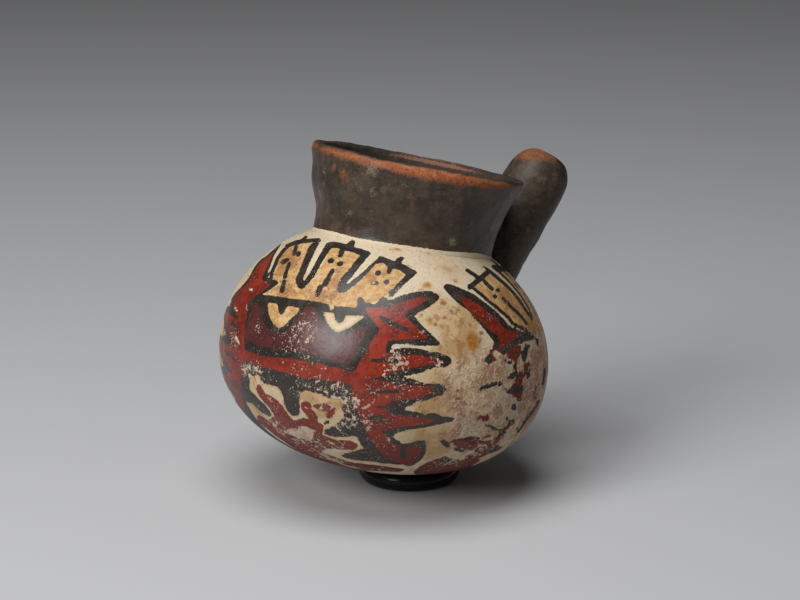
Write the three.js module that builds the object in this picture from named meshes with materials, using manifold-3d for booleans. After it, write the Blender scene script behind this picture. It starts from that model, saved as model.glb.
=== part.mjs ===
// A hand-built spouted jar: a round painted body, a wide flaring collar with a rolled rim, and a
// straight tubular spout behind the right shoulder. The rounded base leans in a low ring.
// Millimetres, +Z up, painted front towards -Y. The origin is under the middle of the whole object.
import * as THREE from "three";
import { mergeVertices } from "three/addons/utils/BufferGeometryUtils.js";
import Module from "manifold-3d";

const { degToRad, lerp } = THREE.MathUtils;

// Body wall: heights are measured from the belly line, the widest level of the jar
const BELLY_RADIUS = 57;
const BASE_DEPTH = 39.1;
const BASE_FULLNESS = 2.2; // 2 is an ellipse, more is flatter underneath
const SHOULDER_RISE = 47.3; // to where the shoulder curve would close on the axis
const SHOULDER_FULLNESS = 2.05;
const BODY_WALL = 5;
const BASE_WALL = 6.5;
const BOWL_SEAM_DROP = 10; // joint between the base bowl and the belly strap
const SHOULDER_SEAM_RISE = 16; // joint between the belly strap and the shoulder strap
const SCARF = 4; // how much lower a bevelled joint lies inside the wall than outside

// Collar and rim
const COLLAR_FOOT_RADIUS = 31;
const COLLAR_FLARE = 6.4; // growth of the radius from foot to rim
const COLLAR_HEIGHT = 28.8; // foot to lip, on the axis
const COLLAR_WALL = 5;
const RIM_COIL_HEIGHT = 7;
const RIM_DRIFT = 1.05; // sideways set of the rim towards +X
const RIM_SLOPE = 2.6; // degrees that the rim dips out of level
const RIM_DIP_AZIMUTH = -37; // degrees, the side to which it dips

// Spout
const SPOUT_AZIMUTH = 39.8; // degrees from +X towards +Y
const SPOUT_LEAN = 28.3; // degrees outwards from the jar's axis
const SPOUT_STANDOFF = 40.2; // from the jar's axis to where the spout's axis leaves the shoulder
const SPOUT_LENGTH = 48.1; // from there to the lip
const SPOUT_FOOT_RADIUS = 11.4;
const SPOUT_LIP_RADIUS = 11.2;
const SPOUT_END_ROUND = 10.7; // of the outer edge, which domes over to the bore
const SPOUT_BORE_RADIUS = 6;
const LUTING_REACH = 6; // of the clay fillet, along the shoulder and up the spout
const LUTING_LAP = 2; // how far its face runs on into the shoulder and the spout before it is cut
const LUTING_HOLLOW = 0.45; // 0 is a flat bevel, 1 is hollowed right into the corner

// Ring under the base
const RING_RADIUS = 14; // to the middle of its round section
const RING_SECTION_RADIUS = 3.7;
const RING_FLAT_DEPTH = 0.5; // sliced off underneath

// Stance of the jar in its ring
const LEAN = 13.8; // degrees off upright
const LEAN_AZIMUTH = 48; // degrees from +X towards +Y

const JOINT_GAP = 0.3; // between pieces that touch

// Fineness of the curved surfaces
const ROUND_STEPS = 48;
const SPOUT_STEPS = 28;
const WALL_STEP = degToRad(7);
const COLLAR_STEPS = 5;
const LIP_STEPS = 5;
const RING_SECTION_STEPS = 14;
const BISECTIONS = 40;

const wasm = await Module();
wasm.setup();

// Solids for cutting

function toSolid(geometry) {
  const bare = geometry.clone();
  bare.deleteAttribute("normal");
  bare.deleteAttribute("uv");
  const merged = mergeVertices(bare);
  const vertProperties = new Float32Array(merged.attributes.position.array);
  const triVerts = new Uint32Array(merged.index.array);
  return new wasm.Manifold(new wasm.Mesh({ numProp: 3, vertProperties, triVerts }));
}

function toGeometry(solid) {
  const mesh = solid.getMesh();
  const geometry = new THREE.BufferGeometry();
  geometry.setAttribute("position", new THREE.BufferAttribute(mesh.vertProperties, 3));
  geometry.setIndex(new THREE.BufferAttribute(mesh.triVerts, 1));
  geometry.computeVertexNormals();
  return geometry;
}

function cut(geometry, ...cutters) {
  let solid = toSolid(geometry);
  for (const cutter of cutters) {
    solid = solid.subtract(toSolid(cutter));
  }
  return toGeometry(solid);
}

// A profile of (radius, height) points, up the outside and down the inside, turned about +Z
function turned(profile, steps = ROUND_STEPS) {
  return new THREE.LatheGeometry(profile, steps).rotateX(Math.PI / 2);
}

function closed(profile) {
  return [...profile, profile[0].clone()];
}

function clayMesh(name, geometry, color, roughness) {
  const mesh = new THREE.Mesh(geometry, new THREE.MeshStandardMaterial({ color, roughness, metalness: 0 }));
  mesh.name = name;
  return mesh;
}

// Body wall, drawn as a section that runs from the base pole to the top pole

const BASE_POLE = -Math.PI / 2;
const TOP_POLE = Math.PI / 2;

// Depth below the outside of the wall at an angle round the section
const outside = () => 0;
const clearOfOutside = () => -JOINT_GAP;
const inside = (angle) => (angle < 0 ? lerp(BODY_WALL, BASE_WALL, Math.sin(angle) ** 2) : BODY_WALL);

function wallPoint(angle, depthAt) {
  const upper = angle > 0;
  const rise = upper ? SHOULDER_RISE : -BASE_DEPTH;
  const fullness = upper ? SHOULDER_FULLNESS : BASE_FULLNESS;
  const across = Math.max(Math.cos(angle), 0) ** (2 / fullness);
  const along = Math.abs(Math.sin(angle)) ** (2 / fullness);
  const point = new THREE.Vector2(BELLY_RADIUS * across, rise * along);
  const normal = new THREE.Vector2(across ** (fullness - 1) / BELLY_RADIUS, along ** (fullness - 1) / rise);
  point.addScaledVector(normal.normalize(), -depthAt(angle));
  if (angle === BASE_POLE || angle === TOP_POLE) {
    point.x = 0;
  }
  return point;
}

// Angle at which a surface of the wall reaches a height
function wallAngle(height, depthAt) {
  let low = BASE_POLE;
  let high = TOP_POLE;
  for (let i = 0; i < BISECTIONS; i++) {
    const middle = (low + high) / 2;
    if (wallPoint(middle, depthAt).y < height) {
      low = middle;
    } else {
      high = middle;
    }
  }
  return low;
}

function wallCurve(depthAt, from, to) {
  const steps = Math.max(1, Math.round(Math.abs(to - from) / WALL_STEP));
  const points = [];
  for (let i = 0; i <= steps; i++) {
    points.push(wallPoint(i === steps ? to : lerp(from, to, i / steps), depthAt));
  }
  return points;
}

// Height of the outside of the shoulder at a radius
function shoulderHeight(radius) {
  const share = (radius / BELLY_RADIUS) ** SHOULDER_FULLNESS;
  return SHOULDER_RISE * (1 - share) ** (1 / SHOULDER_FULLNESS);
}

const COLLAR_SEAT = shoulderHeight(COLLAR_FOOT_RADIUS);

// A strap of wall between two joints, each given by its height on the outside
function strapProfile(lowSeam, highSeam) {
  const outer = wallCurve(outside, wallAngle(lowSeam, outside), wallAngle(highSeam, outside));
  const inner = wallCurve(inside, wallAngle(highSeam - SCARF, inside), wallAngle(lowSeam - SCARF, inside));
  return closed([...outer, ...inner]);
}

function baseBowl() {
  const outer = wallCurve(outside, BASE_POLE, wallAngle(-BOWL_SEAM_DROP, outside));
  const inner = wallCurve(inside, wallAngle(-BOWL_SEAM_DROP - SCARF, inside), BASE_POLE);
  return turned([...outer, ...inner]);
}

function bellyStrap() {
  return turned(strapProfile(-BOWL_SEAM_DROP + JOINT_GAP, SHOULDER_SEAM_RISE));
}

// The top edge of the shoulder is levelled off as a seat for the collar
function shoulderStrap(spoutBore) {
  const lowSeam = SHOULDER_SEAM_RISE + JOINT_GAP;
  const outer = wallCurve(outside, wallAngle(lowSeam, outside), wallAngle(COLLAR_SEAT, outside));
  const inner = wallCurve(inside, wallAngle(COLLAR_SEAT, inside), wallAngle(lowSeam - SCARF, inside));
  return cut(turned(closed([...outer, ...inner])), spoutBore);
}

function bodyCutter() {
  return turned(wallCurve(clearOfOutside, BASE_POLE, TOP_POLE));
}

// Collar and rim, drawn from the collar's seat upwards

function collarRadius(height) {
  return COLLAR_FOOT_RADIUS + COLLAR_FLARE * (height / COLLAR_HEIGHT) ** 2;
}

function collarCurve(depth, from, to) {
  const points = [];
  for (let i = 0; i <= COLLAR_STEPS; i++) {
    const height = lerp(from, to, i / COLLAR_STEPS);
    points.push(new THREE.Vector2(collarRadius(height) - depth, height));
  }
  return points;
}

// Sets the rim to one side and dips it, leaving the foot level and in place
function settleRim(geometry) {
  const slope = Math.tan(degToRad(RIM_SLOPE));
  const dipX = -slope * Math.cos(degToRad(RIM_DIP_AZIMUTH));
  const dipY = -slope * Math.sin(degToRad(RIM_DIP_AZIMUTH));
  const position = geometry.attributes.position;
  for (let i = 0; i < position.count; i++) {
    const rise = position.getZ(i) / COLLAR_HEIGHT;
    const dip = dipX * position.getX(i) + dipY * position.getY(i);
    position.setX(i, position.getX(i) + RIM_DRIFT * rise);
    position.setZ(i, position.getZ(i) + dip * rise);
  }
  return geometry;
}

const RIM_SEAM = COLLAR_HEIGHT - RIM_COIL_HEIGHT;

function neckCollar() {
  const outer = collarCurve(0, JOINT_GAP, RIM_SEAM);
  const inner = collarCurve(COLLAR_WALL, RIM_SEAM - SCARF, JOINT_GAP);
  return settleRim(turned(closed([...outer, ...inner])));
}

function rimCoil() {
  const lipRadius = COLLAR_WALL / 2;
  const lipHeight = COLLAR_HEIGHT - lipRadius;
  const seam = RIM_SEAM + JOINT_GAP;
  const outer = collarCurve(0, seam, lipHeight);
  const lip = [];
  for (let i = 1; i < LIP_STEPS; i++) {
    const turn = (Math.PI * i) / LIP_STEPS;
    const radius = collarRadius(lipHeight) - lipRadius + lipRadius * Math.cos(turn);
    lip.push(new THREE.Vector2(radius, lipHeight + lipRadius * Math.sin(turn)));
  }
  const inner = collarCurve(COLLAR_WALL, lipHeight, seam - SCARF);
  return settleRim(turned(closed([...outer, ...lip, ...inner])));
}

function collarCutter() {
  const axisFoot = new THREE.Vector2(0, -COLLAR_WALL);
  const axisTop = new THREE.Vector2(0, COLLAR_HEIGHT);
  const skirt = new THREE.Vector2(COLLAR_FOOT_RADIUS + JOINT_GAP, -COLLAR_WALL);
  const outer = collarCurve(-JOINT_GAP, 0, COLLAR_HEIGHT);
  return settleRim(turned([axisFoot, skirt, ...outer, axisTop]));
}

// Spout, drawn along its own axis from where that leaves the shoulder

function spoutRadius(height) {
  return lerp(SPOUT_FOOT_RADIUS, SPOUT_LIP_RADIUS, height / SPOUT_LENGTH);
}

// The root reaches into the shoulder on every side, for the cuts to shape
const SPOUT_ROOT = -SPOUT_FOOT_RADIUS;

function spoutTube(...cutters) {
  const roundCentre = SPOUT_LIP_RADIUS - SPOUT_END_ROUND;
  const lipTurn = Math.acos((SPOUT_BORE_RADIUS - roundCentre) / SPOUT_END_ROUND);
  const roundFoot = SPOUT_LENGTH - SPOUT_END_ROUND * Math.sin(lipTurn);
  const profile = [new THREE.Vector2(spoutRadius(SPOUT_ROOT), SPOUT_ROOT)];
  for (let i = 0; i <= LIP_STEPS; i++) {
    const turn = (lipTurn * i) / LIP_STEPS;
    const radius = roundCentre + SPOUT_END_ROUND * Math.cos(turn);
    profile.push(new THREE.Vector2(radius, roundFoot + SPOUT_END_ROUND * Math.sin(turn)));
  }
  profile.push(new THREE.Vector2(SPOUT_BORE_RADIUS, SPOUT_ROOT));
  return cut(turned(closed(profile), SPOUT_STEPS), ...cutters);
}

// A solid rod along the spout's axis, for the bore and for what goes round the spout
function spoutRod(radiusAt) {
  const foot = SPOUT_ROOT - BODY_WALL;
  return turned(
    [
      new THREE.Vector2(0, foot),
      new THREE.Vector2(radiusAt(foot), foot),
      new THREE.Vector2(radiusAt(SPOUT_LENGTH), SPOUT_LENGTH),
      new THREE.Vector2(0, SPOUT_LENGTH),
    ],
    SPOUT_STEPS,
  );
}

// A coil of clay smoothed into the corner round the spout's foot, square to the shoulder
function spoutLuting(...cutters) {
  const sag = (radius) => -(radius ** 2) / (2 * BELLY_RADIUS);
  const toeRadius = SPOUT_FOOT_RADIUS + LUTING_REACH;
  const toe = new THREE.Vector2(toeRadius + LUTING_LAP, sag(toeRadius) - LUTING_LAP);
  const top = new THREE.Vector2(SPOUT_FOOT_RADIUS - LUTING_LAP, LUTING_REACH + LUTING_LAP);
  const corner = new THREE.Vector2(SPOUT_FOOT_RADIUS, sag(SPOUT_FOOT_RADIUS));
  const hollow = toe.clone().lerp(top, 1 / 2).lerp(corner, LUTING_HOLLOW);
  const face = new THREE.QuadraticBezierCurve(toe, hollow, top);
  const foot = toe.y - BODY_WALL;
  const profile = [
    new THREE.Vector2(0, foot),
    new THREE.Vector2(toe.x, foot),
    ...face.getPoints(LIP_STEPS),
    new THREE.Vector2(0, top.y),
  ];
  return cut(turned(profile, SPOUT_STEPS), ...cutters);
}

// Ring under the base

function displayRing() {
  const flatHeight = RING_FLAT_DEPTH - RING_SECTION_RADIUS;
  const flatTurn = Math.asin(flatHeight / RING_SECTION_RADIUS);
  const profile = [];
  for (let i = 0; i <= RING_SECTION_STEPS; i++) {
    const turn = lerp(flatTurn, Math.PI - flatTurn, i / RING_SECTION_STEPS);
    const radius = RING_RADIUS + RING_SECTION_RADIUS * Math.cos(turn);
    profile.push(new THREE.Vector2(radius, RING_SECTION_RADIUS * Math.sin(turn) - flatHeight));
  }
  return turned(closed(profile));
}

// Distance of a point in the jar's frame from the outside of the wall, good close to the wall
function distanceToWall(point) {
  const upper = point.z > 0;
  const rise = upper ? SHOULDER_RISE : BASE_DEPTH;
  const fullness = upper ? SHOULDER_FULLNESS : BASE_FULLNESS;
  const across = Math.hypot(point.x, point.y) / BELLY_RADIUS;
  const along = Math.abs(point.z) / rise;
  const level = (across ** fullness + along ** fullness) ** (1 / fullness);
  const slope = Math.hypot(across ** (fullness - 1) / BELLY_RADIUS, along ** (fullness - 1) / rise);
  return ((level - 1) * level ** (fullness - 1)) / slope;
}

// The lowest point of the leaning body lies over the middle of the ring
function lowestPoint() {
  const across = BELLY_RADIUS * Math.sin(degToRad(LEAN));
  const along = BASE_DEPTH * Math.cos(degToRad(LEAN));
  const power = BASE_FULLNESS / (BASE_FULLNESS - 1);
  const reach = (across ** power + along ** power) ** (1 / power);
  const radius = BELLY_RADIUS * (across / reach) ** (power - 1);
  const drop = BASE_DEPTH * (along / reach) ** (power - 1);
  const azimuth = degToRad(LEAN_AZIMUTH);
  return new THREE.Vector3(radius * Math.cos(azimuth), radius * Math.sin(azimuth), -drop);
}

// Lowers the leaning jar until its base is a joint's gap from the ring
function seatJar(jar, ring) {
  const azimuth = degToRad(LEAN_AZIMUTH);
  jar.quaternion.setFromAxisAngle(
    new THREE.Vector3(-Math.sin(azimuth), Math.cos(azimuth), 0),
    degToRad(LEAN),
  );
  const lowest = lowestPoint().applyQuaternion(jar.quaternion);
  jar.position.set(-lowest.x, -lowest.y, 0);
  const toJar = jar.quaternion.clone().invert();
  const position = ring.geometry.attributes.position;
  const point = new THREE.Vector3();
  let low = -lowest.z;
  let high = low + 2 * RING_SECTION_RADIUS + JOINT_GAP;
  for (let i = 0; i < BISECTIONS; i++) {
    jar.position.z = (low + high) / 2;
    let gap = Infinity;
    for (let j = 0; j < position.count; j++) {
      point.fromBufferAttribute(position, j).sub(jar.position).applyQuaternion(toJar);
      gap = Math.min(gap, distanceToWall(point));
    }
    if (gap < JOINT_GAP) {
      low = jar.position.z;
    } else {
      high = jar.position.z;
    }
  }
}

// Assembly

function buildSpout(collar) {
  const azimuth = degToRad(SPOUT_AZIMUTH);
  const foot = new THREE.Vector3(
    SPOUT_STANDOFF * Math.cos(azimuth),
    SPOUT_STANDOFF * Math.sin(azimuth),
    shoulderHeight(SPOUT_STANDOFF),
  );
  const spout = new THREE.Group();
  spout.position.copy(foot);
  spout.rotation.set(0, degToRad(SPOUT_LEAN), azimuth, "ZYX");
  spout.updateMatrix();

  const luting = new THREE.Group();
  const across = (SPOUT_STANDOFF / BELLY_RADIUS) ** (SHOULDER_FULLNESS - 1) / BELLY_RADIUS;
  const along = (foot.z / SHOULDER_RISE) ** (SHOULDER_FULLNESS - 1) / SHOULDER_RISE;
  luting.position.copy(foot);
  luting.rotation.set(0, Math.atan2(across, along), azimuth, "ZYX");
  luting.updateMatrix();

  const cutterIn = (geometry, from, group) => {
    return geometry.applyMatrix4(from.matrix).applyMatrix4(group.matrix.clone().invert());
  };
  const level = new THREE.Group();
  const shaft = spoutRod((height) => spoutRadius(height) + JOINT_GAP);
  const tube = spoutTube(cutterIn(bodyCutter(), level, spout), cutterIn(collarCutter(), collar, spout));
  spout.add(clayMesh("spout_tube", tube, 0x3b312c, 0.55));
  const fillet = spoutLuting(
    cutterIn(bodyCutter(), level, luting),
    cutterIn(collarCutter(), collar, luting),
    cutterIn(shaft, spout, luting),
  );
  luting.add(clayMesh("spout_luting", fillet, 0x3f342e, 0.6));
  return { spout, luting };
}

function buildJar() {
  const jar = new THREE.Group();
  const collar = new THREE.Group();
  collar.position.z = COLLAR_SEAT;
  collar.updateMatrix();
  collar.add(clayMesh("neck_collar", neckCollar(), 0x3d332e, 0.55));
  collar.add(clayMesh("rim_coil", rimCoil(), 0x8a4a2c, 0.65));

  const { spout, luting } = buildSpout(collar);
  const bore = spoutRod(() => SPOUT_BORE_RADIUS).applyMatrix4(spout.matrix);
  jar.add(clayMesh("base_bowl", baseBowl(), 0x8c4636, 0.7));
  jar.add(clayMesh("belly_strap", bellyStrap(), 0xa8694a, 0.65));
  jar.add(clayMesh("shoulder_strap", shoulderStrap(bore), 0xd8c29c, 0.6));
  jar.add(collar, spout, luting);
  return jar;
}

const ring = clayMesh("display_ring", displayRing(), 0x0b0b0d, 0.2);
const jar = buildJar();
seatJar(jar, ring);

// Stands the whole object over its origin
const stance = new THREE.Group();
stance.add(ring, jar);
const box = new THREE.Box3().setFromObject(stance, true);
const middle = box.getCenter(new THREE.Vector3());
stance.position.set(-middle.x, -middle.y, -box.min.z);

const object = new THREE.Group();
object.add(stance);

export default object;
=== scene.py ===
import math

import bpy
import numpy as np
from bpy.props import FloatProperty, FloatVectorProperty, IntProperty, PointerProperty
from mathutils import Matrix, Vector


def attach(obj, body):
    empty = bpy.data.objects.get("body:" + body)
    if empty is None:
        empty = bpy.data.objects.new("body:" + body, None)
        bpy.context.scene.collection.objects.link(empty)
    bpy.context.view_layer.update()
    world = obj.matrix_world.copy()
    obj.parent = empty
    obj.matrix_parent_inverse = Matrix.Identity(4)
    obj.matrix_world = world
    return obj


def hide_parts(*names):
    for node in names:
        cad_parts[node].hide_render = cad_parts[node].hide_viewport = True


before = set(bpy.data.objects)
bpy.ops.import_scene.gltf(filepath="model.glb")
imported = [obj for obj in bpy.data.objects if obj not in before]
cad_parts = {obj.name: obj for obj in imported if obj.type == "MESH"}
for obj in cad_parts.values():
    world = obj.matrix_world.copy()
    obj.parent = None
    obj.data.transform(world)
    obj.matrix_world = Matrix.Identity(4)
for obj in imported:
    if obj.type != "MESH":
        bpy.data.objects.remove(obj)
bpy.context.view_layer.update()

bl_info = {
    "name": "Spouted Jar",
    "version": (1, 0, 0),
    "blender": (4, 5, 0),
    "location": "View3D > Sidebar > Jar",
    "description": "Builds a leaning painted jar with a dark collar, a side spout "
                   "and its display ring",
    "category": "Object",
}

# A millimetre, in the metres of the frame.
MM = 0.001

# Where the CAD solids have the body's centre and the ring, how far the jar leans in the ring,
# and which way its spout and its rim are turned.
JAR_CENTRE = Vector((-0.004565, -0.001401, 0.047189))
LEAN = math.radians(13.8)
LEAN_AZIMUTH = math.radians(48.0)
RING_CENTRE = Vector((0.004341, 0.008490, 0.0))
SPOUT_AZIMUTH = math.radians(39.8)
SPOUT_LEAN = math.radians(28.3)
RIM_DIP_AZIMUTH = math.radians(-37.0)

# The photograph: its frame, its lens in pixels, and where it shows the body's centre.
PHOTO_WIDTH = 800
PHOTO_HEIGHT = 600
FOCAL_PIXELS = 2601.0
CENTRE_PIXEL = (383.6, 357.0)
VIEW_TILT = math.radians(15.0)
VIEW_DISTANCE = 0.9
SENSOR_WIDTH = 36.0

# The painted figure goes round the jar: its line of symmetry, the turns of its copies and of
# their flaking, and the bearing at which the second one starts.
FIGURE_AXIS = math.radians(-123.0)
SECOND_TURN = math.radians(108.0)
THIRD_TURN = math.radians(228.0)
SECOND_START = math.radians(-4.0)
SECOND_FLAKED_TURN = SECOND_TURN + 0.4

# Uneven edges and walls: (size of the waves, how far they reach, seed).
START_WAVES = ((18 * MM, 4 * MM, 3), (5 * MM, MM, 8))
NECK_WAVES = ((17 * MM, 0.22 * MM, 5), (5 * MM, 0.07 * MM, 11))

# The stretch rubbed bare before the second figure: its spread, its top and how it fades.
BARE_SPREAD = math.radians(15)
BARE_TOP = 24 * MM
BARE_FADE = 10 * MM

# Brush marks: (paint, brush width, points). Widths and points are pixels of the photograph;
# a width of 0 is a filled outline, and two widths are a stroke that tapers.
PLUME_ONE = (
    ("buff", 0, "289,246 297,243 306,242 317,241 311,256 304,270 300,281 301,288 300,302 "
     "285,299.5 270,297 266,293 274,288 279,283 272,279 274,268 280,256"),
    ("black", 3.5, "289,245 283,251 278,258 275,265 272,272 271,279"),
    ("black", 4, "287,246 297,242 305,241 319,240"),
    ("black", 3, "299,243 306,237"),
    ("black", 4, "296,246 294,254"),
    ("black", 4, "299,252.5 298,255"),
    ("black", (5, 4), "283,262 287.5,259.5"),
    ("black", (3, 4.5), "289.5,263 286.5,271 285,277"),
    ("black", (4, 5), "284.5,281 282,291"),
)
PLUMES_TWO_THREE = (
    ("buff", 0, "331,246 340,247 352,250 362,254 356,262 348,274 340,283 338,292 346,292 "
     "358,282 370,270 380,262 390,266 400,269 408,274 400,282 392,291 384,297 375,302 360,305 "
     "357,310 345,311 333,308 318,305 299,301 300,289 308,285 316,275 324,261"),
    ("black", 0, "309,246 318,239 320,241 315.5,250 310.5,261 305.5,273 303,279 304.5,281 "
     "309,274 314,265 320,254 325,245 327,242.5 333,241.5 332,247 326,256 320,266 314,277 "
     "308,284 304,288 301,289.5 297.5,286.5 295.6,280 300,269 304.5,257"),
    ("black", 0, "326,244 333,241.5 340,242.5 346,244 354,247 362,249 371,252.5 366,259 359,255 "
     "350,251.5 341,249.5 337,248 330,248"),
    ("black", 0, "346,245 350,241 353,239.7 355.5,242 353,247"),
    ("black", 0, "362,254 371,252.5 365,260 359,268 352,277 346.5,283 348,284 353,280 359,275 "
     "366,269 372,263 378,258 380,255.5 386,258 384,262 376,264 372,268.5 366,274.5 362,279 "
     "355,285 349,289.5 344,292.5 339.5,293 336.8,290 338,284 342,277 348,271 353,264 356,260"),
    ("black", 0, "379,256 385,257.5 393,260.5 405,265 410,268 414,270 417,272.5 411,279 406,275 "
     "401,271 396,269 391,268.5 385,264.5"),
    ("black", 0, "395,260 401,256.3 404.8,258 402,260.5 401,264"),
    ("black", 0, "416,272.5 411,278.5 405,284 400,289 394,295 391,297 388,293 394,287 400,281 "
     "406.5,274.5"),
    ("black", (6, 4.5), "343.5,247 340,255.5"),
    ("black", (6, 5), "391,266 389,271.5"),
    ("black", 5.5, "330,261 331.5,260.5"),
    ("black", 5.5, "339.5,264 340.8,263.5"),
    ("black", (4, 6), "333,270 329,277 325.5,284"),
    ("black", (6, 4.5), "320.5,287.5 317,295"),
    ("black", 6, "377.5,273 378.5,272.5"),
    ("black", 5, "386,282 387,281.5"),
    ("black", (3, 5), "371.5,283.5 376.5,283"),
    ("cream", 2.4, "373,283.3 374.5,282.6"),
)
FACE = (
    ("black", 0, "247,299 252,295 258,294.5 270,295.5 285,297.5 300,299.5 313,301 327,304 "
     "334,306 348,306.5 356,308 358,297 362,297 366,303 370,313 376,319 384,328 382,336 377,344 "
     "373,352 368,360 363,369 358,376 340,370 330,368 320,366 305,363 290,360 275,359 262,358 "
     "250,354 240,350 238,345 240,336 243,325 245,313"),
    ("plum", 0, "254,302 249,316 246,328 244,336 252,343 262,346 275,349 300,351 310,355 "
     "320,357 330,360 340,364 346,366 353,358 358,350 362,342 366,334 364,328 360,326 352,331 "
     "345,335 338,337.5 331,335.5 325,329 320,320 317,311 313,307 306,306 303,311 297,319 "
     "291,326 284,332 277,334.5 270,331 264,324 261,315 259,305"),
    ("buff_over", 0, "268,303 268.5,312 270,318 273,323 277,327 280,327.5 285,325 290,320 "
     "296,314 300,308.5 288,306 286,309 284,313 280.5,315 278,310 277,304"),
    ("cream", 0, "323,312 325,318 328,324 332,329 336,332 341,331.5 346,329 352,326 358,321.5 "
     "364,316 349,315.5 346,315 344,320 341,323 338,323 335,319 333,313"),
    ("cream", 0, "329,303 333,304 333.5,309 330,309.5"),
    ("red", 0, "240,349 250,352 262,356 275,357.5 290,358.5 305,361 320,364 330,366.5 340,368.5 "
     "352,372 360,370 360,388 352,386 348,384 340,382 330,381 320,380 305,378 290,374 280,371 "
     "268,368 258,366 250,362 240,360"),
)
MASK = (
    ("black", 0, "239,354 250,356 258,360 268,362 280,365 290,368 305,372 320,374 330,375 "
     "340,376 352,380 352,402 355.5,408 359,416.4 362.7,421 364.5,429 369,436.4 371,441 377,448 "
     "382,454.5 390,461 392,464 377,462 355,460 341,456 320,440 300,430 270,416 250,404 242,396 "
     "240,380"),
    ("cream", 0, "249,385.6 250.2,379 254,377 257,374.5 260,377 262.7,382.7 272,385.2 277.7,387 "
     "281,391.5 283.4,397.7 284.4,405 288.7,412.5 292.5,415.6 296,416 299.4,413.7 300,405 "
     "300.6,393.7 306,390 312.5,392.5 321,395 327.5,397.5 333.7,398.7 340,400 341,406 "
     "343.7,413.7 344.4,417.5 338.7,422.5 335,426 330,427.5 325,430 323.7,433 327.5,435.6 "
     "335,437 346,437 355,436 358.7,440 360.6,445 363.7,448 357.5,450 347.5,452.5 341,455 "
     "345,458 355,460 365,461 376,462 382.5,464 392.5,465 402.5,464.4 414,469 405,473.5 390,473 "
     "370,471 350,466 330,459 310,450 295,442 280,433 265,422 253.7,413.7 250,405 248,394"),
    ("black_over", 0, "240.6,377 247,379 249,385.6 250.2,390.6 255,395 260,400.6 265.6,405.6 "
     "271.5,414 270,416.8 265.6,415 259,410.6 253.4,405 248.4,401.3 243,396"),
    ("red_over", 0, "257,385 260.6,385.6 263,389.9 265.5,393.4 269.5,395.6 273,397.7 278,401 "
     "282.5,406 286.8,412.5 291,418 294.5,420.6 298.4,419.2 304,417.7 309,419 306.3,415.6 "
     "303,411.3 300.6,407 302,403 306.3,401.3 310.2,402.7 311.8,407 314.5,411.3 317.5,416.3 "
     "318,422 321,423.4 323.8,426.3 322.5,431.3 322,434 327,436.7 335.6,439.5 343.4,440.2 "
     "350,440 355,443 358,446 355,449.4 345,450 335,449 327,449 319,453 310,454.5 298.5,450.5 "
     "291,446 283,440.5 275.5,435.5 270,431 264,426.5 258.5,422 256.5,416 260.6,415.2 "
     "267.7,420.4 270.6,418.6 274.3,416.6 273.5,414.9 270,409.3 265.7,404.2 260.7,398.6 "
     "257.8,394 255.8,389"),
    ("red_over", 0, "311.5,405 316,403.6 324,403.6 332,404.2 335.5,408.3 334,415 330,419 "
     "326.5,417 326,413 323.5,410.2 317.5,409"),
    ("red_over", 0, "300,446 312,448.5 325,453.3 333,455.8 342,459.2 350,461.8 365,463.8 "
     "381,465.6 392,467.2 404,469.3 400,472 385,471.5 367,471 358,475 340,471 325,466 308,459 "
     "296,452"),
    ("black_over", 3, "325,423.5 328,422"),
    ("black_over", 5, "246,407 250,414 255,421 262,429 272,437.5 284,445.5 296,452 308,457.5"),
)
EAR = (
    ("black", 0, "363,303 370,303 375,304 380,299 384,297 390,300 397,297 405,294.5 412,292.5 "
     "422,291.5 430,291 436,293.5 440,296.5 437,301 432,305 426,309 420,312 414.5,316 "
     "416.4,318.6 420,323 424,327.7 428.6,331.4 433,336 436.8,339.5 439.3,342.3 438.6,346 "
     "412,345.5 395,344 392,347 388,350 375,345 377,335 379,328 372,320 365,314"),
    ("red", 0, "365,308 372,307.5 385,306.5 395,304.5 403,302.5 411,299 420,297 428,298.5 "
     "424,302 419,305 413,308 407,310.5 405,316 411.4,322.3 416,326.8 421.4,331.4 427.7,336.8 "
     "425,338.6 412.3,339.5 394,340 387,341.5 382,350 372,345 377,335 379,328 372,320"),
    ("black_over", 4.5, "381,317 390,322.5 400,327.5 407,330"),
)
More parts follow.
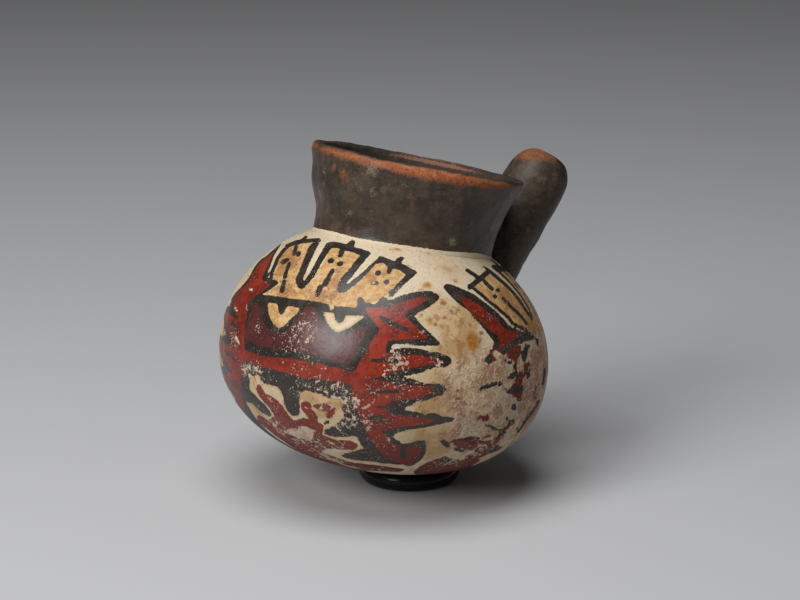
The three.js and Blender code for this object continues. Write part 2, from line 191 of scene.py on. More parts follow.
FINGERS = (
    ("black", 0, "386,341 391,347 393,350.5 398.6,347.7 412,347.7 421,349 428.6,351.4 "
     "438.6,352.7 444,354.5 448.6,356.4 452.3,362.3 446.8,366.8 442,367.3 434,367.7 425,370.5 "
     "423,372.7 415,373.6 404.5,376.4 412,378.5 418.6,381.4 428.6,384 436,384 443,384.5 "
     "445.5,386.8 447.3,391.4 439.5,396.4 432.3,398 424,401.4 415,403.6 408.6,406.4 403,409 "
     "408.6,411 421.4,413 425,415.5 430.5,412.7 436.8,413.6 443,416.4 450.5,416.4 454,418 "
     "452.3,421.4 446.8,422.3 441.4,424 430.5,426.4 424,427.7 415,429 407.7,430 398.6,432.7 "
     "391.4,435.7 394,438 400.5,442 403,443.6 411.4,442.7 416,441 425,440.5 426,448 425.5,453.6 "
     "423,458 419.5,461 411.4,466 400,465 390,463.6 377,462 365,443 356,427 349,410 346,390 "
     "347,372 352,365 357,357 362,349 367,341"),
    ("red", 0, "377,334 388,341 385.5,346 386,352 390.5,354.5 403,355 415,355 423,356 "
     "432.3,357.7 440.5,361.4 436,364 428.6,365 421.4,366 412.3,368.2 403,369.5 393,372 388,376 "
     "388,381 398.6,385 421.4,385.5 428.6,386.8 434,389.5 430,394 415,399 400,400.5 390,402 "
     "386,406 388,411 394,414.5 407.7,416.4 426,418 434,420 428.6,423.6 415,426 398.6,427.7 "
     "390,429 386,433 387,438 393,444 402,447.5 412,446.5 420,445.5 420.5,453.6 417.7,459 "
     "411.4,465.5 403,463.6 392,461 384,456 377,448 371,441 369,436.4 364.5,429 362.7,421 "
     "359,416.4 355.5,408 351.8,402 352,386 352.5,374 357,367.5 362,358.5 367,350.5 371,342.5"),
    ("black_over", (3, 5), "371,361 385,360 398,360.5"),
    ("black_over", (2, 8), "371,379.5 386,378 401,379.5"),
    ("black_over", (3, 4), "369,392 385,391.5 400,392"),
    ("black_over", (2, 8), "376,407.5 390,407 402,408"),
    ("black_over", (3, 6), "369,418.5 382,418"),
    ("black_over", (3, 7), "383,432.5 392,433"),
    ("black_over", 6, "403.5,449.5 403.5,456"),
)
LEFT_EAR = (
    ("black", 0, "282,243 277,251 273,258 270.5,266 268,272 266,277 272,279 279,282.5 273,288 "
     "266,292.5 258,296 251,300 246,312 238,312 230,306 231,302 236,293 241,287 248,279 253,271 "
     "262,261 272,251"),
    ("red", 0, "275,251 271,258 268,265 264.5,272 262,280 270,283.5 266,289 257,291.5 251,298 "
     "246,308 243,318 236,314 233,306 236,299 240,293 245,287 250,279 255,271 262,263"),
)
SECOND_EAR = (
    ("black", 0, "443,287 446,284 450,284.5 460,288 475,295 489,306 498,313.5 504,319.5 "
     "509,325.5 519.5,331 529,335 527,341 517.7,345 511.4,350 504,355 497,351 493,349.5 "
     "492.3,346 493.6,341.4 491.4,338.6 486.8,333 481.4,326 474,318.6 468.6,311.4 459,304 "
     "451,297 446,291"),
    ("red", 0, "460,296 470,300 483,308 495,318 505,329 517.7,333 522,337 516,339 510,343 "
     "503,348 497,350 498.6,341.4 497.7,336 490.5,331.4 483,323 472,314 464,305"),
    ("buff", 0, "474,287 488,273 503,283 518,296 530,308 534,319 536,336 525,330 513,325 "
     "508,318 499,310 489,302 480,294"),
    ("black", 4, "467,270 479,278"),
    ("black", 5.5, "470,287 488,272"),
    ("black", 3.4, "472,287.5 480,293.5 489,301.5 499,309.5 508,317.5 513,324 522,328 530,334.5"),
    ("black", 4, "484,281 492,289"),
    ("black", 4, "497.5,290 498.5,290.5"),
    ("black", 4, "494.5,296 495.5,297"),
    ("black", 3, "503,298 513,309 520.5,316 526.8,324"),
)
REMNANTS = (
    ("red", 0, "506,352 510,347 517,345 521,346 520,353 518,359 515,363 511,359 508,358"),
    ("red", 0, "489,350 494,350 493,355 497,358.5 495,362 490,360"),
    ("red", 0, "518,373 522,371.5 525.5,374.5 522.5,380 521,385.5 516,384 515,379"),
    ("red", 0, "510,387 516,382.5 521,385 523.5,387 522,394 521,400 519.5,403 516,398.5 512,395"),
    ("red", 0, "475,421 479.5,415.5 484,416 488,414 490,419.5 485,421.5 480,419.5"),
    ("red", 0, "524,363 529.5,363 530,371 529.5,378 526,376.5 523.5,370"),
    ("red", 0, "452,442 460,440 471,438 480,440 489,441 497,436 504,428 512,419.5 516,421 "
     "509,428 503,437 497,443 500,446.5 490,453 480,458 470,462 464,463 466,456.5 474,452 "
     "466,450 455,446.5"),
    ("red", 0, "414,471 424,464 434,460 445,457.5 453,459 462,460 475,459 480,460 472,465.5 "
     "460,470 446,473.5 430,475.5 416,475"),
    ("red", 0, "535,385 538,388 537.5,395 534.5,400 533,394"),
    ("black_over", 0, "502.5,351 508,344.5 514,339.5 521,334.5 523,338 516,343 509,349 "
     "505,352.5"),
    ("black_over", 0, "481.5,360 486,358 489,352.5 493,357.5 492,362 488,365 485,361.5"),
    ("black_over", 0, "502.5,358.5 507,361 512.5,359.5 511.5,364 505,363.5"),
    ("black_over", 0, "525,343.5 530,345.5 528,350 526.5,356 524.5,363 521.5,358 521,353 "
     "524,347.5"),
    ("black_over", 0, "513,364 517,362 516.5,369 519,375 516.5,379 513.5,374"),
    ("black_over", 0, "506.5,378.5 511,373.5 514.5,375 513,379.5"),
    ("black_over", 0, "525.5,369 529,370.5 530,376 527,378.5"),
    ("black_over", 0, "479,390 483.5,385 490,383 496.5,381.5 497.5,385 491,387.5 484,389 "
     "481,391.5"),
    ("black_over", 0, "499,382 503,380.5 502,385.5 499.5,385"),
    ("black_over", 0, "501,386 506,388.5 512.5,390.5 511,395 505,391.5"),
    ("black_over", 0, "511.5,388 516,386 522.5,387.5 521.5,392.5 515,393.5"),
    ("black_over", 0, "510.5,407.5 513.5,402.5 516.5,406 515,411.5"),
    ("black_over", 0, "506,418 511,420 515,418.5 513.5,423.5 508,424"),
    ("black_over", 0, "498,429.5 504,429 506,433 500,435"),
    ("black_over", 2.6, "486.5,425 492,427.5 499,430.5"),
    ("black_over", (2.5, 4.6), "539,401 535,408.5 529,416 523,423.5 517.5,431"),
    ("black_over", (2, 3), "544.5,368 544.3,376 543,384"),
    ("black_over", 0, "440,441.5 444.5,439.5 448,442.5 450,446 447,448 443,445"),
    ("black_over", 2.6, "449.5,442.5 460,440 472,438 480,439.5"),
    ("black_over", 0, "452.5,447.5 459,447.5 465.5,450.5 461,452.5 455,450.5"),
    ("black_over", 0, "436.5,460.5 444,456.5 449,457.5 454,461 449.5,463.5 443.5,460.5"),
    ("black_over", 0, "486,450.5 493,447 499,447 504,445.5 498,450.5 490,453.5"),
    ("black_over", 0, "484,438 488,435 491.5,435.5 487,438.5"),
    ("black_over", 0, "456,390 458.5,389.5 458,392"),
    ("black_over", 0, "526,333.5 531,334 535,337 531,341 527.5,340"),
    ("black_over", 0, "535,338.5 538.5,339 538,346 535.5,343.5"),
)
STAINS = (
    ("stain", 5, "425.5,285 429,285.5"),
    ("stain", 5, "442.5,302 444,302.5"),
    ("stain", 3, "455,281 456,281.5"),
    ("stain", 11, "472,337.5 473,345"),
    ("stain", 3, "396,248.5 399,249.5"),
    ("stain", 4.5, "429.5,319.5 430.5,322.5"),
    ("stain", 4.5, "441,326.5 442.5,327"),
    ("speck", 3.4, "444,317.5 444.8,318.5"),
    ("speck", 3.4, "434.5,324.5 436,324.7"),
    ("speck", 3.4, "455.5,339.5 456.5,340.5"),
    ("speck", 3, "451,311 451.5,311.3"),
    ("speck", 3, "457.3,310.2 458,310.5"),
    ("speck", 3, "469.7,324.2 470.4,324.8"),
    ("speck", 3, "480.7,332.7 481.3,333.3"),
    ("speck", 3, "420.4,314.8 421,315.2"),
    ("speck", 3, "478.7,339 479.3,340"),
    ("speck", 3, "443,303.5 444.5,304"),
    ("speck", 3, "457,397.7 457.7,398"),
)
FLAKES = (
    ("chalk", 0, "284,431.5 290.6,428 296,429 300,426 306,426.5 312,429.5 317.5,430 313,433.5 "
     "313,437 309,441.5 302.7,439 296,437 290,434.5"),
    ("chalk", 1.1, "322,454.5 335,461 347,466 360,468.5"),
    ("chalk", 1.0, "361,410 368,405.5 375,401"),
    ("chalk", 1.4, "249.5,288 252,290.5"),
    ("chalk", 1.8, "235.5,307.5 237,311"),
    ("chalk", 0.8, "246.3,304 246.8,311"),
    ("chalk", 1.2, "349,421 355.5,427"),
    ("chalk", 2.2, "390,357.5 396,356"),
    ("chalk", 1.8, "400,362.7 407,363"),
    ("chalk", 2.4, "393,368 396,367"),
    ("chalk", 0, "437,360 441,361.5 440,366 437.5,364.5"),
    ("chalk", 1.6, "365.5,419 369,425"),
    ("chalk", 2, "354,398 358,404"),
    ("chalk", 2.6, "394,346.5 400,346 409,345.8"),
    ("chalk", 2, "236,337 238.5,344"),
    ("chalk", 2, "384,373.5 387.5,371"),
)

# Every kind of paint, stain and flake that has an outline.
PAINTS = ("buff", "black", "red", "plum", "cream", "buff_over", "red_over", "black_over", "stain",
          "speck", "chalk")

# Soft patches where paint has flaked, slip is rubbed away, dirt has tanned it or it is crazed:
# (x, y, reach, amount), with all but the amount in pixels of the photograph.
FLAKED = (
    (246, 371, 11, 1.0), (257, 373, 10, 1.0), (268, 376, 12, 0.55), (300, 330, 20, 0.4),
    (257, 328, 8, 0.5), (302, 442, 24, 0.46), (274, 424, 16, 0.62), (338, 446, 22, 0.52),
    (324, 408, 9, 0.7), (300, 385, 26, 0.45), (335, 392, 18, 0.55), (393, 364, 12, 0.46),
    (390, 395, 28, 0.4), (366, 422, 12, 0.6), (398, 290, 9, 0.7), (384, 299, 7, 0.35),
    (437, 363, 8, 0.6), (403, 350, 11, 0.32), (480, 449, 22, 0.6), (354, 400, 9, 0.6),
    (445, 464, 26, 0.55), (335, 458, 24, 0.6), (385, 472, 24, 0.6), (234, 340, 12, 0.6),
    (380, 440, 20, 0.45), (330, 300, 8, 0.35), (228, 372, 12, 0.5), (270, 400, 10, 0.5),
    (340, 424, 11, 0.8), (343, 405, 10, 0.8), (424, 331, 6, 0.4), (350, 415, 10, 0.5),
    (420, 390, 22, 0.35),
)
RUBBED = (
    (490, 372, 26, 0.9), (515, 400, 34, 0.95), (472, 405, 26, 0.85), (533, 362, 34, 1.0),
    (490, 430, 26, 0.85), (462, 370, 16, 0.7), (538, 345, 26, 0.9), (534, 385, 56, 1.0),
    (526, 415, 50, 1.0), (516, 440, 40, 0.95), (465, 432, 18, 0.75), (370, 470, 24, 0.6),
    (445, 385, 14, 0.5), (500, 455, 18, 0.7),
)
# Tan patches also darken the red; on the left ear's red that darkening is painted shade.
TAN_AND_SHADE_PATCHES = (
    (432, 406, 20, 1.0), (432, 378, 16, 0.7), (455, 320, 20, 1.0), (466, 338, 17, 1.0),
    (440, 310, 12, 0.7), (448, 350, 16, 0.6), (440, 445, 26, 1.0), (420, 436, 16, 0.8),
    (447, 268, 14, 0.5), (430, 256, 10, 0.35), (392, 246, 16, 0.3), (482, 262, 12, 0.3),
    (285, 290, 16, 1.0), (290, 262, 14, 1.0), (322, 300, 18, 0.8), (458, 398, 18, 0.7),
    (527, 400, 14, 0.9), (500, 416, 12, 0.7), (340, 262, 10, 0.5), (425, 318, 16, 0.5),
    (470, 462, 18, 0.8), (538, 352, 34, 1.0), (536, 392, 44, 1.0), (524, 428, 34, 0.8),
    (325, 412, 12, 0.8), (335, 401, 14, 1.0), (312, 396, 10, 0.9), (243, 297, 16, 0.9),
    (515, 288, 12, 0.6), (275, 392, 12, 0.4), (538, 330, 12, 0.7), (505, 300, 22, 0.5),
)
CRAZED = ((309, 331, 15, 1.0), (300, 350, 9, 0.6), (258, 329, 8, 0.8))

# Spots on the collar: (bearing in degrees, share of its height, reach in millimetres).
SMUDGES = ((-133, 0.74, 2.2), (-140, 0.80, 1.4))
# Lime spots; on the lit front-left also painted sheen, under the lip at -113 a painted highlight.
LIME_AND_SHEEN_SPOTS = (
    (-158, 0.42, 2.6), (-112, 0.6, 2.2), (-113, 0.86, 3.0), (-170, 0.3, 2.0), (-140, 0.5, 1.6),
    (-95, 0.74, 1.4), (-60, 0.16, 1.8), (-150, 0.72, 1.8), (-128, 0.3, 1.5), (150, 0.5, 3.0),
    (60, 0.3, 2.5), (100, 0.6, 2.0),
)

# How far down its outside the lip is worn: bearings in degrees, depths in millimetres. The
# deepest wear is a little below the lip's top, and the spout's end and the smudges have their own.
WEAR_BEARINGS = (-180, -147, -130, -110, -95, -78, -65, -54, -40, -32, -22, 20, 140, 180)
WEAR_DEPTHS = (1.2, 1.4, 1.6, 2.1, 2.7, 3.0, 2.8, 2.5, 2.1, 1.1, -1.5, -2.5, -1.5, 1.2)
LIP_CREST = 0.8 * MM
SPOUT_WORN_DEPTH = 2.9
SMUDGE_WEAR = 1.6
SMUDGE_EDGE = 1.4
WEAR_LIMITS = (-12, 6)

# The rubbed line inside the lip: its drop in millimetres and its bearing in degrees, each with
# a spread.
INNER_EDGE_DROP = (1.3, 0.8)
INNER_EDGE_SIDE = (75, 38)

# How far above the shoulder the dark slip ends, in millimetres, and its bearing at the front.
SLIP_RISE = 0.3
SLIP_RISE_FULL_SIDE = 0.6
SLIP_RISE_FRONT = 0.8
SLIP_RISE_BY_SPOUT = 0.45
SLIP_FRONT = (-42, 30)
SLIP_RIPPLE = 0.15
SLIP_RIPPLES = 7
SLIP_LIMIT = 3.0

# The clay by the spout: how far past its foot the spout's skin goes, how far the slip's edge
# takes to level out, and how far past the bore counts as inside.
SPOUT_SKIN = 1.5 * MM
SPOUT_LEVELLING = 4 * MM
BORE_SKIN = 0.5 * MM

# Crazing: cells to a metre, and how far their edges stray.
CRACK_SCALE = 420.0
CRACK_DRIFT = 1.6 * MM

# Painted shade on the lowest red, also made matt: the heights where it is full and where it ends.
LOW_SHADE_AND_WEAR_FOOT = 12 * MM
LOW_SHADE_AND_WEAR_TOP = 50 * MM

# Tints of dirt, wear and bare ground, on and under the slips.
TAN = (0.60, 0.375, 0.155)
STRAW = (0.56, 0.40, 0.22)
BROWN_BLOTCH = (0.47, 0.27, 0.11)
BROWN_GRAIN = (0.42, 0.28, 0.155)
RUST_CRUMB = (0.36, 0.18, 0.055)
DARK_CRUMB = (0.27, 0.135, 0.05)
SPECK = (0.17, 0.085, 0.036)
CHALK = (0.74, 0.58, 0.38)
CHALK_TAN = (0.56, 0.35, 0.18)
CHALK_PINK = (0.50, 0.27, 0.165)
CHALK_GREY = (0.60, 0.50, 0.37)
CHALK_BLOTCH = (0.38, 0.185, 0.115)
CHALK_LIGHT = (0.78, 0.64, 0.45)
CHALK_GRIT = (0.27, 0.16, 0.09)
CHALK_PIT = (0.10, 0.062, 0.038)
PALE_PINK = (0.62, 0.31, 0.19)
PALE_BROWN = (0.42, 0.25, 0.17)
BUFF_LIGHT = (0.70, 0.50, 0.265)
BUFF_BROWN = (0.37, 0.165, 0.055)
BUFF_CRUMB = (0.20, 0.092, 0.036)
BUFF_GRAIN = (0.30, 0.16, 0.065)
FRINGE = (0.52, 0.31, 0.125)
RUST = (0.095, 0.034, 0.016)
LIME_AND_SHEEN_TINT = (0.27, 0.22, 0.15)
GRIT = (0.22, 0.17, 0.115)
RUBBED_EDGE = (0.25, 0.115, 0.07)
CLAY_DIRT = (0.06, 0.034, 0.022)


class JarSizes(bpy.types.PropertyGroup):
    """Sizes of the jar, as its CAD solids have them."""

    belly_radius: FloatProperty(
        name="Belly Radius", description="Outside radius at the belly line",
        default=0.057, unit="LENGTH")
    base_depth: FloatProperty(
        name="Base Depth", description="From the belly line down to the bottom",
        default=0.0391, unit="LENGTH")
    base_fullness: FloatProperty(
        name="Base Fullness", description="How square the bowl's curve is; 2 is an ellipse",
        default=2.2)
    shoulder_rise: FloatProperty(
        name="Shoulder Rise",
        description="From the belly line up to where the shoulder would close",
        default=0.0473, unit="LENGTH")
    shoulder_fullness: FloatProperty(
        name="Shoulder Fullness", description="How square the shoulder's curve is; 2 is an ellipse",
        default=2.05)
    wall: FloatProperty(
        name="Wall", description="Thickness of the body and of the collar",
        default=0.005, unit="LENGTH")
    unevenness: FloatProperty(
        name="Unevenness", description="How far the hand-built wall wanders",
        default=0.00035, unit="LENGTH")
    collar_radius: FloatProperty(
        name="Collar Radius", description="Outside radius at the collar's foot",
        default=0.031, unit="LENGTH")
    collar_flare: FloatProperty(
        name="Collar Flare", description="How much wider the lip is than the foot",
        default=0.0064, unit="LENGTH")
    collar_height: FloatProperty(
        name="Collar Height", description="From the shoulder to the lip",
        default=0.0288, unit="LENGTH")
    rim_slope: FloatProperty(
        name="Rim Slope", description="How far the rim dips to one side",
        default=math.radians(2.6), subtype="ANGLE")
    rim_drift: FloatProperty(
        name="Rim Drift", description="How far the rim sits off the body's axis",
        default=0.00105, unit="LENGTH")
    spout_standoff: FloatProperty(
        name="Spout Standoff", description="From the body's axis to the middle of the spout's foot",
        default=0.0402, unit="LENGTH")
    spout_length: FloatProperty(
        name="Spout Length", description="From its foot to its lip",
        default=0.0481, unit="LENGTH")
    spout_foot_radius: FloatProperty(
        name="Spout Foot Radius", description="Outside radius at its foot",
        default=0.0114, unit="LENGTH")
    spout_lip_radius: FloatProperty(
        name="Spout Lip Radius", description="Outside radius at its lip",
        default=0.0112, unit="LENGTH")
    spout_end_round: FloatProperty(
        name="Spout End Round",
        description="Radius of its outer edge, which domes over to the bore",
        default=0.0107, unit="LENGTH")
    spout_bore_radius: FloatProperty(
        name="Spout Bore Radius", description="Radius of the way through it",
        default=0.006, unit="LENGTH")
    ring_radius: FloatProperty(
        name="Ring Radius", description="To the middle of the display ring's section",
        default=0.014, unit="LENGTH")
    ring_section: FloatProperty(
        name="Ring Section", description="Radius of the display ring's section",
        default=0.0037, unit="LENGTH")
    ring_flat: FloatProperty(
        name="Ring Flat", description="Depth of the flat ground under the ring",
        default=0.0005, unit="LENGTH")
    columns: IntProperty(
        name="Columns", description="Faces round the body", default=560, min=24)


class JarFinish(bpy.types.PropertyGroup):
    """Colours of the slips, the bare clay and the ring."""

    cream: FloatVectorProperty(
        name="Cream Slip", description="Ground of the painting",
        default=(0.72, 0.60, 0.43), size=3, subtype="COLOR")
    pale: FloatVectorProperty(
        name="Pale Slip", description="Chalky ground where paint has flaked",
        default=(0.72, 0.60, 0.47), size=3, subtype="COLOR")
    buff: FloatVectorProperty(
        name="Buff Slip", description="Plumes",
        default=(0.56, 0.335, 0.138), size=3, subtype="COLOR")
    red: FloatVectorProperty(
        name="Red Slip", description="Limbs, band and mask",
        default=(0.26, 0.028, 0.013), size=3, subtype="COLOR")
    plum: FloatVectorProperty(
        name="Plum Slip", description="Face",
        default=(0.085, 0.023, 0.021), size=3, subtype="COLOR")
    black: FloatVectorProperty(
        name="Black Slip", description="Line work",
        default=(0.024, 0.019, 0.015), size=3, subtype="COLOR")
    ochre: FloatVectorProperty(
        name="Ochre Stain", description="Spots on the ground",
        default=(0.50, 0.19, 0.025), size=3, subtype="COLOR")
    dark: FloatVectorProperty(
        name="Dark Slip", description="Collar and spout",
        default=(0.049, 0.0338, 0.0222), size=3, subtype="COLOR")
    clay: FloatVectorProperty(
        name="Bare Clay", description="Worn lips",
        default=(0.47, 0.14, 0.048), size=3, subtype="COLOR")
    inside: FloatVectorProperty(
        name="Inside Clay", description="Unslipped clay inside the body",
        default=(0.20, 0.105, 0.06), size=3, subtype="COLOR")
    ring: FloatVectorProperty(
        name="Ring Black", description="Display ring",
        default=(0.004, 0.004, 0.0042), size=3, subtype="COLOR")


class JarStage(bpy.types.PropertyGroup):
    """Floor and lamps."""

    floor: FloatVectorProperty(
        name="Floor", description="Colour of the floor",
        default=(0.56, 0.565, 0.58), size=3, subtype="COLOR")
    top_power: FloatProperty(
        name="Top Lamp", description="Power of the large lamp overhead", default=7.8, unit="POWER")
    front_power: FloatProperty(
        name="Front Lamp", description="Power of the lamp left of the camera", default=8.3,
        unit="POWER")
    bounce: FloatProperty(
        name="Bounce", description="Share of the floor's colour that is cast up on the jar",
        default=0.75, min=0.0, max=1.0, subtype="FACTOR")
    sky: FloatProperty(
        name="Sky", description="Strength of the even light all round", default=0.05)


class Tree:
    """A node tree in the making: adds nodes and wires their sockets."""

    def __init__(self, tree):
        self.tree = tree

    def add(self, kind, inputs=(), out=0, **settings):
        """A new node with its settings made and its inputs fed; gives one of its outputs."""
        node = self.tree.nodes.new(kind)
        for name, value in settings.items():
            setattr(node, name, value)
        pairs = inputs.items() if isinstance(inputs, dict) else enumerate(inputs)
        for key, value in pairs:
            self.feed(node.inputs[key], value)
        return node.outputs[out]

    def feed(self, socket, value):
        """Links an input to another node's output, or sets it to a value."""
        if isinstance(value, bpy.types.NodeSocket):
            self.tree.links.new(value, socket)
        else:
            socket.default_value = value

    def math(self, operation, *values):
        """A number worked out from one or two others."""
        return self.add("ShaderNodeMath", values, operation=operation)

    def plus(self, first, second):
        """The sum of two values."""
        return self.math("ADD", first, second)

    def minus(self, first, second):
        """The first value less the second."""
        return self.math("SUBTRACT", first, second)

    def times(self, first, second):
        """The product of two values."""
        return self.math("MULTIPLY", first, second)

    def most(self, first, *others):
        """The greatest of several values."""
        for other in others:
            first = self.math("MAXIMUM", first, other)
        return first

    def spread(self, value, low, high, start=0.0, end=1.0, smooth=True):
        """value from low to high, made start to end and held there."""
        return self.add("ShaderNodeMapRange", (value, low, high, start, end),
                        interpolation_type="SMOOTHSTEP" if smooth else "LINEAR")

    def mix(self, share, first, second):
        """A colour that goes from first to second as share goes from 0 to 1."""
        return self.add("ShaderNodeMix", {0: share, 6: solid(first), 7: solid(second)}, out=2,
                        data_type="RGBA")

    def noise(self, where, scale, detail=2.0, rough=0.5, twist=0.0):
        """Cloudy noise, with scale in clouds to a metre."""
        return self.add("ShaderNodeTexNoise", {"Vector": where, "Scale": scale, "Detail": detail,
                                               "Roughness": rough, "Distortion": twist})

    def attribute(self, name):
        """A value that the mesh carries at each point."""
        return self.add("ShaderNodeAttribute", out=2, attribute_name=name)


def solid(colour):
    """A colour as four numbers, or the socket that gives it."""
    if isinstance(colour, bpy.types.NodeSocket):
        return colour
    return (*colour[:3], 1.0)


def scaled(colour, share):
    """A colour made lighter or darker."""
    return tuple(channel * share for channel in colour)


def finish_material(name):
    """A new material, its tree, its Principled shader and its Object coordinates."""
    material = bpy.data.materials.new(name)
    material.use_nodes = True
    tree = Tree(material.node_tree)
    shader = material.node_tree.nodes["Principled BSDF"]
    where = tree.add("ShaderNodeTexCoord", out=3)
    return material, tree, shader, where


def bump(tree, shader, height, strength, distance):
    """Relief from a height field, which stands for a distance in metres."""
    normal = tree.add("ShaderNodeBump", {"Strength": strength, "Distance": distance,
                                         "Height": height})
    tree.feed(shader.inputs["Normal"], normal)


def jar_place():
    """From the jar's own upright frame to the frame of the CAD."""
    axis = Vector((-math.sin(LEAN_AZIMUTH), math.cos(LEAN_AZIMUTH), 0.0))
    return Matrix.Translation(JAR_CENTRE) @ Matrix.Rotation(LEAN, 4, axis)


def photo_axes():
    """The photograph's right, up and forward directions, and its eye point."""
    right = Vector((1.0, 0.0, 0.0))
    up = Vector((0.0, math.sin(VIEW_TILT), math.cos(VIEW_TILT)))
    forward = Vector((0.0, math.cos(VIEW_TILT), -math.sin(VIEW_TILT)))
    per_pixel = VIEW_DISTANCE / FOCAL_PIXELS
    across = (CENTRE_PIXEL[0] - PHOTO_WIDTH / 2) * per_pixel
    above = (PHOTO_HEIGHT / 2 - CENTRE_PIXEL[1]) * per_pixel
    eye = JAR_CENTRE - forward * VIEW_DISTANCE - right * across - up * above
    return right, up, forward, eye


def wall_level(points, sizes):
    """The body's superellipse at points of the jar's frame, and the power of its curve there.

    The level is below 0 inside, 0 on the wall and above 0 outside.
    """
    rho = np.hypot(points[..., 0], points[..., 1])
    height = points[..., 2]
    above = height >= 0
    power = np.where(above, sizes.shoulder_fullness, sizes.base_fullness)
    reach = np.where(above, sizes.shoulder_rise, sizes.base_depth)
    total = (rho / sizes.belly_radius) ** power + (np.abs(height) / reach) ** power
    return total - 1.0, power


def onto_wall(points, sizes):
    """Points moved straight out from, or in towards, the body's centre onto its wall."""
    level, power = wall_level(points, sizes)
    return points * ((level + 1.0) ** (-1.0 / power))[..., None]


def shoulder_height(radius, sizes):
    """How far above the belly line the shoulder is at a radius."""
    power = sizes.shoulder_fullness
    return sizes.shoulder_rise * (1 - (radius / sizes.belly_radius) ** power) ** (1 / power)


# Casting a pixel onto the wall: how deep to look, in belly radii, in how many steps, and how
# often the step that goes in is halved.
CAST_REACH = 1.6
CAST_STEPS = 700
CAST_HALVINGS = 24


def cast(pixels, sizes):
    """Pixels of the photograph as points on the jar's wall, in the jar's own frame."""
    right, up, forward, eye = photo_axes()
    home = jar_place().inverted()
    turn = np.array(home.to_3x3())
    start = np.array(home @ eye)
    across = pixels[:, 0] - PHOTO_WIDTH / 2
    above = PHOTO_HEIGHT / 2 - pixels[:, 1]
    rays = np.outer(across, right) + np.outer(above, up) + FOCAL_PIXELS * np.array(forward)
    rays = (rays / np.linalg.norm(rays, axis=1)[:, None]) @ turn.T
    reach = CAST_REACH * sizes.belly_radius
    depths = np.linspace(VIEW_DISTANCE - reach, VIEW_DISTANCE + reach, CAST_STEPS)
    level = wall_level(start + rays[:, None, :] * depths[None, :, None], sizes)[0]
    inside = level < 0
    entry = np.where(inside.any(1), inside.argmax(1), level.argmin(1))
    near, far = depths[np.maximum(entry - 1, 0)], depths[entry]
    for _ in range(CAST_HALVINGS):
        middle = (near + far) / 2
        within = wall_level(start + rays * middle[:, None], sizes)[0] < 0
        far = np.where(within, middle, far)
        near = np.where(within, near, middle)
    return onto_wall(start + rays * far[:, None], sizes)


def read_points(text):
    """Points from a text of pairs: "x,y x,y ..."."""
    return np.array([[float(number) for number in pair.split(",")] for pair in text.split()])


def curve_through(points, closed, samples=3, pull=0.6):
    """A smooth line through points, with samples to each stretch."""
    count = len(points)
    if closed:
        before, after = np.roll(points, 1, 0), np.roll(points, -1, 0)
    else:
        before = np.vstack((points[:1], points[:-1]))
        after = np.vstack((points[1:], points[-1:]))
    tangents = pull * (after - before) / 2
    line = []
    for index in range(count if closed else count - 1):
        following = (index + 1) % count
        for step in range(samples):
            t = step / samples
            line.append((2 * t**3 - 3 * t**2 + 1) * points[index]
                        + (t**3 - 2 * t**2 + t) * tangents[index]
                        + (3 * t**2 - 2 * t**3) * points[following]
                        + (t**3 - t**2) * tangents[following])
    if not closed:
        line.append(points[-1])
    return np.array(line)


# Directions, in degrees, of the points that round off the end of a brush stroke.
ROUND_END = (-54, -18, 18, 54)


def brush_outline(points, width):
    """The outline of a brush stroke along points, with round ends."""
    first, last = width if isinstance(width, tuple) else (width, width)
    line = curve_through(points, closed=False)
    along = np.gradient(line, axis=0)
    along /= np.linalg.norm(along, axis=1)[:, None]
    side = np.column_stack((-along[:, 1], along[:, 0]))
    half = np.linspace(first, last, len(line))[:, None] / 2
    turns = np.radians(ROUND_END)
    start = [line[0] + half[0] * (side[0] * -math.sin(turn) - along[0] * math.cos(turn))
             for turn in turns[::-1]]
    end = [line[-1] + half[-1] * (side[-1] * -math.sin(turn) + along[-1] * math.cos(turn))
           for turn in turns]
    return np.vstack((line + side * half, end, (line - side * half)[::-1], start))


# How many distances between wall and outline are worked out at one time.
BATCH = 1500000


def signed_distance(wall, outline, reach):
    """Distance of wall points to a closed outline on the wall, negative within it, up to reach."""
    result = np.full(len(wall), reach)
    low, high = outline.min(0) - reach, outline.max(0) + reach
    near = np.flatnonzero(((wall > low) & (wall < high)).all(1))
    if not len(near):
        return result
    tips = np.roll(outline, -1, 0) - outline
    lengths = np.maximum((tips**2).sum(1), 1e-16)
    bearing = np.arctan2(outline[:, 1].mean(), outline[:, 0].mean())
    across = np.angle(np.exp(1j * (np.arctan2(outline[:, 1], outline[:, 0]) - bearing)))
    up = outline[:, 2]
    next_across, next_up = np.roll(across, -1), np.roll(up, -1)
    rise = np.where(np.abs(next_up - up) < 1e-12, 1e-12, next_up - up)
    for part in np.array_split(near, max(1, len(near) * len(outline) // BATCH)):
        points = wall[part]
        arms = points[:, None, :] - outline[None]
        shares = np.clip((arms * tips[None]).sum(2) / lengths, 0, 1)
        gaps = arms - shares[..., None] * tips[None]
        distance = np.sqrt((gaps**2).sum(2).min(1))
        turned = np.angle(np.exp(1j * (np.arctan2(points[:, 1], points[:, 0]) - bearing)))
        height = points[:, 2][:, None]
        spans = (up[None] > height) != (next_up[None] > height)
        meets = across + (height - up) / rise * (next_across - across)
        within = (spans & (turned[:, None] < meets)).sum(1) % 2 == 1
        result[part] = np.minimum(np.where(within, -distance, distance), reach)
    return result


